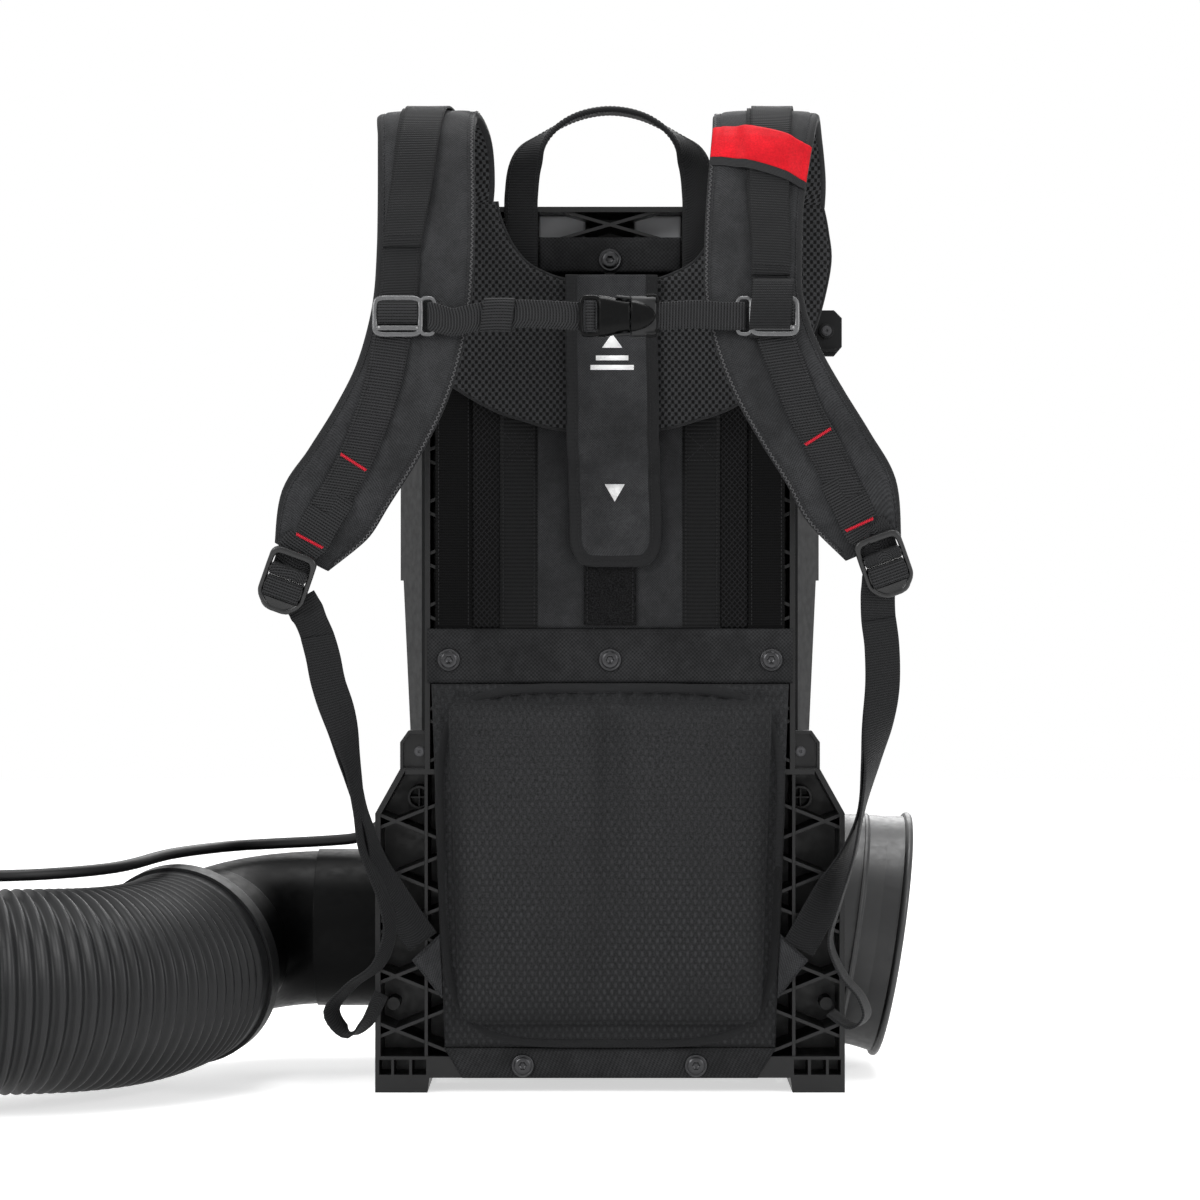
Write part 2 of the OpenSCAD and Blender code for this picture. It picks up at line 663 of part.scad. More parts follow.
module battery_release_right() { battery_release(1); }
// ---- Fan ----
module fan_duct() {
    color("#1d1e20") placed() {
        on_fan_axis(duct_left) pipe(duct_r, duct_ri, duct_right - duct_left);
        on_fan_axis(duct_left) pipe(duct_r + 7, duct_r - 1, 5);
        for (x = [-30, 60]) on_fan_axis(x) pipe(duct_r + 3, duct_r - 1, 4);
    }
}
module outlet_cone() {
    l = duct_left - cone_end;
    color("#1d1e20") placed() on_fan_axis(cone_end) difference() {
        union() {
            cylinder(r1 = pipe_r, r2 = duct_r, h = l);
            translate([0, 0, l - 5]) cylinder(r = duct_r + 7, h = 5);
            translate([0, 0, -12]) cylinder(r = pipe_r + 7, h = 5);
            translate([0, 0, -12]) cylinder(r = pipe_r, h = 12 + eps);
        }
        cylinder(r1 = pipe_r - pipe_wall, r2 = duct_ri, h = l + eps);
        translate([0, 0, -13]) cylinder(r = pipe_r - pipe_wall, h = 13 + eps);
    }
}
// Children drawn along +Z from the tilted plane where the bell begins
module on_bell() {
    translate([bell_start, fan_y, fan_z]) rotate([0, 90 + bell_tilt, 0]) children();
}
module inlet_bell() {
    lip_r = bell_d / 2;
    neck_r = duct_r + 4;
    low_r = neck_r + 2.5;
    bore = duct_ri + 1.6;
    color("#1c1d1f") placed() {
        // collar over the end of the duct, cut off where the bell begins
        difference() {
            on_fan_axis(duct_right - 10) cylinder(r = neck_r, h = bell_start - duct_right + 30);
            on_fan_axis(duct_right - 11) cylinder(r = duct_r + fit, h = 11);
            on_fan_axis(duct_right - 1) cylinder(r = duct_ri, h = bell_start - duct_right + 60);
            on_bell() translate([-150, -150, 0]) cube(300);
        }
        on_bell() rotate_extrude() {
            polygon([[bore, 0], [low_r, 0], [low_r, 2], [neck_r + 1, 4], [neck_r + 2, bell_l * 0.5],
                [lip_r - bell_bead, bell_l], [lip_r - bell_bead - duct_wall, bell_l],
                [bore + 3.4, bell_l * 0.5]]);
            translate([lip_r - bell_bead, bell_l]) circle(r = bell_bead, $fn = 32);
        }
    }
}
module inlet_grille() {
    color("#17181a") placed() on_fan_axis(duct_right + 2) {
        for (r = [22, 40, 58]) pipe(r + 1.5, r - 1.5, 4);
        pipe(duct_ri - 0.2, duct_ri - 3.2, 4);
        for (k = [0:7]) rotate([0, 0, 45 * k]) translate([22, -1.25, 0]) cube([duct_ri - 24, 2.5, 4]);
    }
}
module fan_impeller() {
    color("#2b2d30") placed() on_fan_axis(impeller_x) difference() {
        union() {
            cylinder(r = hub_r, h = impeller_l - 10);
            translate([0, 0, impeller_l - 10 - eps]) cylinder(r1 = hub_r, r2 = hub_r - 12, h = 10);
            intersection() {
                cylinder(r = duct_ri - tip_gap, h = impeller_l);
                for (k = [0:blade_count - 1]) rotate([0, 0, 360 * k / blade_count])
                    translate([hub_r - 4, 0, (impeller_l - 8) / 2]) rotate([38, 0, 0])
                        translate([0, -1.5, -19]) cube([duct_ri, 3, 38]);
            }
        }
        translate([0, 0, -1]) cylinder(r = hub_r - 3, h = impeller_l - 18);
        cylinder(r = shaft_r + 0.02, h = impeller_l + 1);
    }
}
module motor_shaft() {
    start = motor_left - 4;
    color("#b9bcc0") placed() on_fan_axis(start)
        cylinder(r = shaft_r, h = impeller_x + impeller_l - 2 - start);
}
module motor_rotor() {
    color("#8b8e92") placed() on_fan_axis(-16) pipe(motor_r - 14, shaft_r + 0.02, 44);
}
module motor_windings() {
    color("#a5612a") placed() on_fan_axis(-18) pipe(motor_r - 3, motor_r - 12.5, 48);
}
module motor_can() {
    l = motor_right - motor_left;
    cap = 4;
    color("#6e7175") placed() on_fan_axis(motor_left) difference() {
        cylinder(r = motor_r, h = l);
        translate([0, 0, cap + bearing_w]) cylinder(r = motor_r - 3, h = l - 2 * (cap + bearing_w));
        for (z = [cap, l - cap - bearing_w - 1])
            translate([0, 0, z]) cylinder(r = bearing_r, h = bearing_w + 1);
        translate([0, 0, -1]) cylinder(r = shaft_r + 1, h = l + 2);
    }
}
module motor_bearings() {
    color("#c9ccd0") placed() for (x = [motor_left + 4, motor_right - 4 - bearing_w])
        on_fan_axis(x) pipe(bearing_r - 0.01, shaft_r + 0.01, bearing_w);
}
module stator_vanes() {
    l = motor_right - motor_left - 8;
    color("#232527") placed() on_fan_axis(motor_left) {
        pipe(hub_r, motor_r + 0.02, l);
        difference() {
            intersection() {
                cylinder(r = duct_ri - 0.1, h = l);
                for (k = [0:6]) rotate([0, 0, 360 * k / 7 + 12])
                    translate([hub_r - 1, -1.5, 10]) cube([duct_ri, 3, l - 24]);
            }
            cylinder(r = motor_r + 1, h = l + 1);
        }
    }
}
// ---- Outlet elbow and hose ----
module in_elbow_plane() {
    translate([elbow_x, fan_y, fan_z]) rotate([elbow_roll, 0, 0]) children();
}
// Children drawn along +Z start at the end of the elbow's bend
module on_spigot() {
    in_elbow_plane()
        translate([-elbow_bend_r * sin(elbow_turn), -bend_in, 0])
            rotate([0, 0, 90 + elbow_turn])
                rotate([-90, 0, 0]) children();
}
module outlet_elbow() {
    start = cone_end - 12;
    bore = pipe_r - pipe_wall;
    color("#1a1b1d") placed() {
        on_fan_axis(elbow_x - sleeve_lap) pipe(sleeve_r, bore + 1, start - elbow_x + sleeve_lap);
        on_fan_axis(start - 5) pipe(pipe_r + 7, bore + 1, 5);
        in_elbow_plane() translate([0, -elbow_bend_r, 0]) rotate([0, 0, 90])
            rotate_extrude(angle = elbow_turn) translate([elbow_bend_r, 0]) difference() {
                circle(r = pipe_r);
                circle(r = bore);
            }
        on_spigot() translate([0, 0, -sleeve_lap]) pipe(sleeve_r, bore + 1, spigot_l + sleeve_lap);
    }
}
module hose_collar() {
    color("#1f2022") placed() on_spigot() translate([0, 0, spigot_l - collar_l])
        difference() {
            union() {
                cylinder(r = hose_r + 2.7, h = collar_l);
                translate([0, 0, -10]) cylinder(r = sleeve_r + 5, h = 11);
            }
            translate([0, 0, -11]) cylinder(r = sleeve_r + 0.02, h = collar_l + 12);
        }
}
// A tube along the hose's curve
module hose_skin(r) {
    a = hose_start + fit * spigot_dir;
    b = a + hose_handle * spigot_dir;
    d = wand_root - fit * wand_dir;
    c = d - hose_handle * wand_dir;
    skin([for (k = [0:hose_rings])
        ring_at(bezier_point(a, b, c, d, k / hose_rings), bezier_heading(a, b, c, d, k / hose_rings),
                round_section(r, hose_sides), [0, 0, 1], 0, 0)]);
}
module bellows_hose() {
    color("#202123") placed() difference() {
        hose_skin(hose_r);
        hose_skin(hose_r - hose_wall);
    }
}
// ---- Wand ----
module hose_cuff() {
    color("#1f2022") placed() on_wand() difference() {
        union() {
            cylinder(r = hose_r + 1, h = 12);
            translate([0, 0, 12 - eps]) cylinder(r1 = hose_r - 4, r2 = tube_r + 5, h = cuff_l - 22);
            translate([0, 0, cuff_l - 12]) cylinder(r = tube_r + 5, h = 12);
        }
        translate([0, 0, tube_start]) cylinder(r = tube_r + 0.05, h = cuff_l);
        translate([0, 0, -eps])
            cylinder(r1 = hose_r - hose_wall, r2 = tube_r - pipe_wall, h = tube_start + 2 * eps);
    }
}
module control_tube() {
    color("#1a1b1d") placed() on_wand()
        translate([0, 0, tube_start]) pipe(tube_r, tube_r - pipe_wall, tube_l);
}
module nozzle_tube() {
    lap = nozzle_lap;
    color("#1b1c1e") placed() on_wand() translate([0, 0, nozzle_start]) difference() {
        union() {
            cylinder(r = tube_r + 4, h = lap + 8);
            translate([0, 0, lap + 8 - eps]) cylinder(r1 = tube_r + 4, r2 = tube_r, h = 8);
            translate([0, 0, lap]) cylinder(r1 = tube_r, r2 = mouth_r, h = nozzle_l - lap);
        }
        translate([0, 0, -1]) cylinder(r = tube_r + fit / 2, h = lap + 1);
        cylinder(r = tube_r - pipe_wall, h = lap + 1);
        translate([0, 0, lap])
            cylinder(r1 = tube_r - pipe_wall, r2 = mouth_r - pipe_wall, h = nozzle_l - lap + eps);
    }
}
module nozzle_tip() {
    widening = (tube_r - mouth_r) * tip_l / (nozzle_l - nozzle_lap);
    color("#34363a") placed() on_wand() translate([0, 0, nozzle_end - tip_l]) difference() {
        cylinder(r = mouth_r + 2.2, h = tip_l + 3);
        translate([0, 0, -eps])
            cylinder(r1 = mouth_r + widening + 0.02, r2 = mouth_r + 0.02, h = tip_l + eps);
        cylinder(r = mouth_r - pipe_wall, h = tip_l + 4);
    }
}
// The handle's outline as [along, up], and its finger opening
grip_outline = [
    [grip_from, saddle_up], [206, saddle_up], [210, saddle_up + 10], [208, 164], [196, 184],
    [184, grip_top], [116, grip_top], [100, 182], [94, 166], [102, 130], [104, 100], [grip_from, 84]
];
grip_window = [
    [152, 82], [192, 82], [196, 90], [194, 158], [186, 168], [150, 168], [144, 158], [148, 120]
];
// A point of the trigger as [along, up], turned about its pin as far as it is pulled
function pulled(p) = let (a = p[0] - pivot_along, u = p[1] - pivot_up)
    [pivot_along + a * cos(trigger_turn) + u * sin(trigger_turn),
     pivot_up - a * sin(trigger_turn) + u * cos(trigger_turn)];
trigger_outline = [
    [130, 164], [142, 165], [152, 158], [158, 140], [163, 122], [165, 114], [158, 112], [148, 122],
    [140, 140], [131, 150]
];
trigger_room = min([for (p = trigger_outline) min(p[0], pulled(p)[0])]) - 10;
// Lays [along, up] outlines across the wand, between two depths
module across(from, to, points) {
    on_wand() translate([0, to, 0]) rotate([90, 0, 0]) linear_extrude(to - from)
        polygon([for (p = points) [p[1], p[0]]]);
}
module across_hole(up, along, r, from, to) {
    on_wand() translate([up, to, along]) rotate([90, 0, 0]) cylinder(r = r, h = to - from);
}
module handle_shell(from, to) {
    difference() {
        across(from, to, grip_outline);
        across(from - 1, to + 1, grip_window);
        // hollow for the trigger, open into the finger opening
        across(max(from, -trigger_w / 2 - 0.4) - eps, min(to, trigger_w / 2 + 0.4) + eps,
            [[trigger_room, 100], [160, 100], [160, 170], [trigger_room, 170]]);
        across_hole(pivot_up, pivot_along, pin_r + 0.02, -grip_w / 2 + 4, grip_w / 2 - 4);
        on_wand() translate([grip_top - 5 - button_travel, 0, button_along]) rotate([0, 90, 0])
            cylinder(r = button_r + fit, h = 20);
        across_hole(lever_up, lever_along, 3 + fit / 2, -grip_w / 2 - 1, -grip_w / 2 + 8);
    }
}
module handle_shell_front() { color("#1c1d1f") placed() handle_shell(-grip_w / 2, 0); }
module handle_shell_back() { color("#1c1d1f") placed() handle_shell(0, grip_w / 2); }
module handle_clamp() {
    color("#1c1d1f") placed() difference() {
        union() {
            on_wand() translate([0, 0, grip_from + 4]) cylinder(r = tube_r + 4, h = 98);
            across(-grip_w / 2, grip_w / 2, [[grip_from + 2, tube_r - 4], [204, tube_r - 4],
                [204, saddle_up], [grip_from + 2, saddle_up]]);
        }
        on_wand() cylinder(r = tube_r + 0.05, h = 400);
    }
}
module trigger_pin() {
    color("#b9bcc0") placed() across_hole(pivot_up, pivot_along, pin_r, -grip_w / 2 + 4, grip_w / 2 - 4);
}
module throttle_trigger() {
    color("#151617") placed() difference() {
        across(-trigger_w / 2, trigger_w / 2, trigger_outline);
        across_hole(pivot_up, pivot_along, pin_r + 0.15, -20, 20);
    }
}
module cruise_lever() {
    color("#151617") placed() {
        across_hole(lever_up, lever_along, lever_r, -grip_w / 2 - 0.3 - lever_t, -grip_w / 2 - 0.3);
        across_hole(lever_up, lever_along, 3, -grip_w / 2 - 1, -grip_w / 2 + 7);
        across(-grip_w / 2 - 0.3 - lever_t, -grip_w / 2 - 0.3,
            [[lever_along - 7, lever_up], [lever_along - 9, lever_up - 34],
             [lever_along - 2, lever_up - 36], [lever_along + 8, lever_up]]);
    }
}
module power_button() {
    color("#c3242c") placed() on_wand() translate([grip_top - 4, 0, button_along]) rotate([0, 90, 0])
        cylinder(r = button_r, h = 4 + button_travel - 0.5);
}
// ---- Cable ----
module cable_gland() {
    color("#141516") placed() translate([gland_x, gland_y, gland_z]) rotate([0, -90, 0]) {
        pipe(9, cable_d / 2 + 0.02, gland_l);
        cylinder(r = 12, h = 6, $fn = 6);
    }
}
module control_cable() {
    rows = concat(cable_rows, [for (back = [16, 8, seam_gap]) wand_point(cable_up, 0, grip_from - back)]);
    run = smooth(rows, 3);
    color("#101112") placed() skin([for (i = [0:len(run) - 1])
        ring(run, i, round_section(cable_d / 2, 10), [0, 0, 1], 0, 0)]);
}
// ---- Screws ----
module round_head(x, z, y, head_r, thick, shank, shank_r) {
    difference() {
        union() {
            along_y(x, y - thick, z, head_r * 0.82, thick);
            along_y(x, y - thick * 0.5, z, head_r, thick * 0.5);
            along_y(x, y - eps, z, shank_r, shank);
        }
        translate([x, y - thick - 1, z]) rotate([-90, 0, 0])
            cylinder(r = head_r * 0.32, h = thick, $fn = 6);
    }
}
module harness_screws() {
    color("#3a3b3d") placed() for (s = band_screws)
        round_head(s[0], s[1], head_back, washer_d / 2, head_t, 18, screw_r);
}
module frame_screws() {
    color("#8d8f92") placed() both_sides() {
        round_head(142.3, 254, 8, 3.9, 3, 8, small_screw_r);
        round_head(side_screw_x, side_screw_z, 58, 3.9, 3, 9, small_screw_r);
    }
}
// ---- Back panel and bands ----
module back_mesh_panel() {
    top = frame_h - 50;
    right = [[panel_half, panel_low], [panel_half, top - 120], [110, top - 50], [62, top]];
    color("#1a1b1c") placed() plate(-panel_t, 0, concat(right,
        [for (k = [len(right) - 1:-1:0]) [-right[k][0], right[k][1]]]));
}
module hook_strip() {
    color("#141414") placed()
        plate(-panel_t - hook_t, -panel_t, [[-hook_half, panel_low + 2], [hook_half, panel_low + 2],
            [hook_half, panel_low + 124], [-hook_half, panel_low + 124]]);
}
module drilled_band(points) {
    difference() {
        plate(-band_t, 0, points);
        for (s = band_screws) along_y(s[0], -20, s[1], screw_r + 0.2, 40);
    }
}
module top_band() {
    color("#17181a") placed() drilled_band([[-top_band_half, top_screw_z - 9],
        [top_band_half, top_screw_z - 9], [top_band_half, top_screw_z + 17],
        [-top_band_half, top_screw_z + 17]]);
}
module middle_band() {
    top = panel_low - fit;
    color("#17181a") placed() drilled_band([[-middle_half, lumbar_high + 0.5],
        [middle_half, lumbar_high + 0.5], [middle_half, top], [-middle_half, top]]);
}
module bottom_band() {
    color("#17181a") placed() drilled_band([[-110, 11], [110, 11], [124, 34], [-124, 34]]);
}
module lumbar_pad() {
    lobe = [[8, 56], [112, 52], [120, 290], [8, 290]];
    lobe_top = [[20, 76], [96, 74], [104, 272], [20, 272]];
    color("#1e1f20") placed() {
        plate(-lumbar_base_t, 0, [[-123, lumbar_low], [123, lumbar_low], [133, lumbar_high],
            [-133, lumbar_high]]);
        for (side = [0, 1]) mirror([side, 0, 0]) hull() {
            plate(-lumbar_base_t - 2, -lumbar_base_t + 0.5, lobe);
            plate(-lumbar_t, -lumbar_t + 2, lobe_top);
        }
    }
}
module anchor_tabs() {
    color("#17181a") placed() both_sides()
        plate(-4, -1, [[124.6, 70], [147.5, 99], [126.2, 119]]);
}
module carry_handle() {
    run = smooth([for (r = carry_rows) r + [0, 0, frame_h, 0]], 3);
    t = 4.5;
    color("#161718") placed() skin([for (i = [0:len(run) - 1])
        let (d = direction(run, i), u = run[i][3], flip = run[i][0] > 0 ? -1 : 1,
             want = [(1 - u) * flip, -u, 0], w = unit(want - (want * d) * d), n = cross(w, d))
        [for (p = flat_section(lower_web_w, t)) xyz(run[i]) + p[0] * n + p[1] * w]]);
}
// ---- Shoulder harness ----
module yoke_pad() {
    right = [[46, 608], [62, 616], [74, 632], [82, 662], [160, 662], [165, 612], [151, 563],
        [128, 534], [90, 510], [62, 500], [38, 494]];
    color("#1d1e20") placed() plate(yoke_back - yoke_t, yoke_back, concat(right,
        [[0, 492]], [for (k = [len(right) - 1:-1:0]) [-right[k][0], right[k][1]]],
        [[-33, 604], [33, 604]]));
}
module adjust_flap() {
    front = yoke_back - yoke_t - seam_gap - flap_t / 2;
    low = -panel_t - hook_t - 0.4 - flap_t / 2;
    rows = [[1, front, 607], [1, front, 560], [2, front, 512], [2, front, 484], [3, front + 6, 472],
        [3, low - 2, 461], [3, low, 450], [4, low, 430], [4, low, 392]];
    run = smooth(rows, 3);
    color("#191a1b") placed() skin([for (i = [0:len(run) - 1])
        ring(run, i, flat_section(i == len(run) - 1 ? flap_w * 0.7 : flap_w, flap_t), [1, 0, 0], 0, 0)]);
}
module shoulder_pad(rows) {
    run = smooth(rows, 3);
    skin([for (i = [0:len(run) - 1])
        ring(run, i, soft_section(pad_w * run[i][4], pad_t), [1, 0, 0], 0, 0)]);
}
module shoulder_pad_left() { color("#1c1d1e") placed() shoulder_pad(left_pad_rows); }
module shoulder_pad_right() { color("#1c1d1e") placed() shoulder_pad(right_pad_rows); }
// A closed loop of webbing round a bar of a ladder lock
module bar_loop(bar) {
    half = lower_web_w / 2;
    inner = lock_t / 2 + fit;
    difference() {
        box([-half, -inner - web_t, bar[0] - fit - web_t], [half, inner + web_t, bar[1] + fit + web_t]);
        box([-half - 1, -inner, bar[0] - fit], [half + 1, inner, bar[1] + fit]);
    }
}
// Webbing along the outer face of a pad, from the top of the shoulder to its loop on the lock
module shoulder_webbing(rows, lock) {
    run = smooth(rows, 3);
    first = 9;
    back = lock_t / 2 + fit + web_t / 2;
    low = lock_point(lock, back, lock_bar[0]);
    skin(concat([for (i = [first:len(run) - 1])
        ring(run, i, flat_section(web_w, web_t), [1, 0, 0], -pad_t / 2 - web_t / 2 - seam_gap, run[i][3])],
        [ring_at(low, unit(low - lock_point(lock, back, lock_bar[1])),
                 flat_section(lower_web_w, web_t), [cos(lock[1]), 0, -sin(lock[1])], 0, 0)]));
    at_lock(lock) bar_loop(lock_bar);
}
module shoulder_webbing_left() { color("#141516") placed() shoulder_webbing(left_pad_rows, left_lock); }
module shoulder_webbing_right() { color("#141516") placed() shoulder_webbing(right_pad_rows, right_lock); }
// Children drawn flat in XZ about the middle of a lock
module at_lock(lock) {
    translate(lock[0]) rotate([lock_tilt, lock[1], 0]) children();
}
// A ladder lock: side rails, a top bar, two bars for webbing loops and a rounded tongue
module ladder_lock() {
    half = lock_w / 2;
    opening = lower_web_w / 2 + 1;
    y = lock_t / 2;
    difference() {
        plate(-y, y, [[-half + 4, lock_half_h], [half - 4, lock_half_h], [half, lock_half_h - 4],
            [half, -12], [half - 6, -21], [half - 11, -lock_half_h], [-half + 11, -lock_half_h],
            [-half + 6, -21], [-half, -12], [-half, lock_half_h - 4]]);
        box([-opening, -y - 1, lock_bar[1]], [opening, y + 1, lock_half_h - 5]);
        box([-opening, -y - 1, lock_low_bar[1]], [opening, y + 1, lock_bar[0]]);
        box([-opening, -y - 1, lock_low_bar[0] - 4], [opening, y + 1, lock_low_bar[0]]);
    }
}
module ladder_locks() {
    color("#1b1c1e") placed() {
        at_lock(left_lock) ladder_lock();
        at_lock(right_lock) ladder_lock();
    }
}
module lower_webbing(rows, tail_rows, lock) {
    lay = web_t + 0.5;
    turning_webbing(rows, lower_web_w);
    turning_webbing(concat([rows[tail_first] - [0, web_t / 2, 0, 0, 0]],
        [for (i = [tail_first + 1:tail_last]) rows[i] - [0, lay, 0, 0, 0]], tail_rows), lower_web_w);
    at_lock(lock) bar_loop(lock_low_bar);
}
module lower_webbing_left() {
    color("#141516") placed() lower_webbing(left_lower_rows, left_tail_rows, left_lock);
}
module lower_webbing_right() {
    color("#141516") placed() lower_webbing(right_lower_rows, right_tail_rows, right_lock);
}
// ---- Sternum strap ----
module slider(place) {
    w = web_w + 6;
    half_h = 15;
    rim = 3;
    translate([place[0], place[1], slider_z]) rotate([place[2], 0, 0]) difference() {
        box([-w / 2, -slider_t, -half_h], [w / 2, 0, half_h]);
        box([-w / 2 + rim, -slider_t - 1, -half_h + rim], [w / 2 - rim, 1, -2]);
        box([-w / 2 + rim, -slider_t - 1, 2], [w / 2 - rim, 1, half_h - rim]);
    }
}
module strap_sliders() {
    color("#303236") placed() {
        slider(left_slider);
        slider(right_slider);
    }
}
module sternum_strap_left() {
    x = left_slider[0] + web_w / 2 + 3 + 2 * fit;
    y = left_slider[1] - slider_t / 2;
    color("#141516") placed() webbing([[x, y, slider_z], [x + 5, y - 0.4, slider_z],
        [-100, strap_y - 2, slider_z], [-60, strap_y - 2, slider_z + 1],
        [buckle_x - 33, strap_y, buckle_z], [buckle_x - 27.4, strap_y, buckle_z]], sternum_w, [0, 0, 1]);
}
module sternum_strap_right() {
    x = right_slider[0] - web_w / 2 - 3 - 2 * fit;
    y = right_slider[1] - slider_t / 2;
    color("#141516") placed() webbing([[buckle_x + 27.9, strap_y, buckle_z],
        [buckle_x + 33, strap_y, buckle_z], [60, strap_y - 1.5, slider_z + 1],
        [80, strap_y, slider_z], [x - 5, y - 0.4, slider_z], [x, y, slider_z]],
        sternum_w, [0, 0, 1]);
}
module buckle_socket() {
    color("#18191b") placed() translate([buckle_x, strap_y, buckle_z]) difference() {
        box([-27, -5, -15], [8, 6, 15]);
        box([-12, -2.8, -11.3], [9, 3.3, 11.3]);
        box([-23, -6, -10.5], [-17, 7, 10.5]);
    }
}
module buckle_plug() {
    color("#18191b") placed() translate([buckle_x, strap_y, buckle_z]) difference() {
        union() {
            box([8.2, -4, -15], [27, 5, 15]);
            box([-8, -2.4, 6], [9, 2.9, 10.8]);
            box([-8, -2.4, -10.8], [9, 2.9, -6]);
            box([-10, -2.4, -2], [9, 2.9, 2]);
        }
        box([18, -6, -10.5], [23, 7, 10.5]);
    }
}
back_frame();
rear_housing();
rear_cover();
control_board();
terminal_blocks();
battery_left();
battery_right();
battery_release_left();
battery_release_right();
fan_duct();
outlet_cone();
inlet_bell();
inlet_grille();
fan_impeller();
motor_shaft();
motor_rotor();
motor_windings();
motor_can();
motor_bearings();
stator_vanes();
outlet_elbow();
hose_collar();
bellows_hose();
hose_cuff();
control_tube();
handle_clamp();
handle_shell_front();
handle_shell_back();
trigger_pin();
throttle_trigger();
cruise_lever();
power_button();
nozzle_tube();
nozzle_tip();
control_cable();
cable_gland();
frame_screws();
harness_screws();
back_mesh_panel();
hook_strip();
top_band();
middle_band();
bottom_band();
lumbar_pad();
anchor_tabs();
carry_handle();
yoke_pad();
adjust_flap();
shoulder_pad_left();
shoulder_pad_right();
shoulder_webbing_left();
shoulder_webbing_right();
ladder_locks();
lower_webbing_left();
lower_webbing_right();
strap_sliders();
sternum_strap_left();
sternum_strap_right();
buckle_socket();
buckle_plug();
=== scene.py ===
"""Dresses the backpack blower: its harness, pads, webbing, hose, cable and finishes.

Lengths are in millimetres in the drawing frame, whose Y = 0 is the front edge of the back
frame. place() turns them into metres in the row frame, whose origin is on the floor.
"""

import logging
from dataclasses import dataclass, field
from enum import Enum
from functools import cache, reduce

import bpy
import numpy as np
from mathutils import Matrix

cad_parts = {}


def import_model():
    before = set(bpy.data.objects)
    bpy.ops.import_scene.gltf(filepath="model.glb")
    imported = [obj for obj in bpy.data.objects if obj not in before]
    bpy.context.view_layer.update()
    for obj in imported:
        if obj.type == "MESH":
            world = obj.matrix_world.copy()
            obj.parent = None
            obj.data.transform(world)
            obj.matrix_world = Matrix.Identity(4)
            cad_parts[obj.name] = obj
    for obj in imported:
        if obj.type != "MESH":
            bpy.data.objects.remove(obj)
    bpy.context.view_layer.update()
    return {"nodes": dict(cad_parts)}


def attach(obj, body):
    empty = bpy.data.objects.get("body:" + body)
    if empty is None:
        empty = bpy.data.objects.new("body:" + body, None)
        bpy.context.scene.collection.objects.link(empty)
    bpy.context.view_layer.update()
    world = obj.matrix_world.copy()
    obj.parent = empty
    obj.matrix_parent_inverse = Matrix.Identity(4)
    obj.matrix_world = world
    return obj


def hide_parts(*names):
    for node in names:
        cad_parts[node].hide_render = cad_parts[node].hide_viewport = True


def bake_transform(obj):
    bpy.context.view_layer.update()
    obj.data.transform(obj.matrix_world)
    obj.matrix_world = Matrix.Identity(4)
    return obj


log = logging.getLogger("blower")
Array = np.ndarray
Point = Tone = tuple[float, float, float]
Pair = tuple[float, float]
Socket = bpy.types.NodeSocket
Material = bpy.types.Material

SKID_DEPTH = 250.0
ACROSS = np.array([1.0, 0.0, 0.0])
UPWARD = np.array([0.0, 0.0, 1.0])
FORWARD = np.array([0.0, -1.0, 0.0])


class Body(Enum):
    """Bodies of the model that the dressed pieces ride on."""

    BASE = "base"
    HARNESS = "harness"
    STERNUM = "sternum"
    BUCKLE = "buckle"


class Side(Enum):
    """The two sides of the object, by the sign of x."""

    LEFT = -1
    RIGHT = 1

    @property
    def word(self) -> str:
        """The side's name in a piece's name."""
        return self.name.lower()


# ---- geometry
def place(points: Array) -> Array:
    """Moves drawing-frame millimetres to row-frame metres.

    Args:
        points: array whose last axis is x, y, z in millimetres.

    Returns:
        The same points in metres, with y measured from the footprint's middle.
    """
    return (np.asarray(points, float) + np.array([0.0, -SKID_DEPTH / 2, 0.0])) * 0.001


def stack(*parts: Array | float) -> Array:
    """Points from their coordinates, which stretch to one another's shapes."""
    return np.stack(np.broadcast_arrays(*parts), -1)


def clamp(values: Array) -> Array:
    """Values held between nought and one."""
    return np.clip(values, 0, 1)


def powered(values: Array, power: float) -> Array:
    """Values raised to a power, their signs kept."""
    return np.sign(values) * np.abs(values) ** power


def eased(count: int) -> Array:
    """Shares from -1 to 1 by a sine, closer together towards both ends."""
    return np.sin(np.linspace(-np.pi / 2, np.pi / 2, count))


def nearest(*runs: Array) -> Array:
    """The least of several distances, point by point."""
    return reduce(np.minimum, runs)


def unit(vectors: Array) -> Array:
    """Scales vectors on the last axis to length one."""
    return vectors / np.maximum(np.linalg.norm(vectors, axis=-1, keepdims=True), 1e-12)


def smooth(rows: list, steps: int) -> Array:
    """Runs a Catmull-Rom curve through rows of any number of columns.

    Args:
        rows: the rows that the curve passes through.
        steps: pieces to each stretch.

    Returns:
        Rows along the curve, the given ones among them.
    """
    p = np.asarray(rows, float)
    last = len(p) - 1
    index = np.repeat(np.arange(last), steps)
    t = np.tile(np.arange(steps) / steps, last)[:, None]
    a, b = p[np.maximum(index - 1, 0)], p[index]
    c, d = p[index + 1], p[np.minimum(index + 2, last)]
    run = 0.5 * (
        2 * b + (c - a) * t + (2 * a - 5 * b + 4 * c - d) * t**2 + (3 * b - a - 3 * c + d) * t**3)
    return np.vstack([run, p[last]])


def lengths(path: Array) -> Array:
    """Distance run along a path up to each of its points."""
    return np.concatenate([[0], np.cumsum(np.linalg.norm(np.diff(path, axis=0), axis=1))])


def sample(values: Array, row: Array, run: Array | None = None) -> Array:
    """Values of a run at fractional rows, or at distances where the run's own are given."""
    pick = np.arange(len(values)) if run is None else run
    if values.ndim == 1:
        return np.interp(row, pick, values)
    return np.stack([np.interp(row, pick, column) for column in values.T], -1)


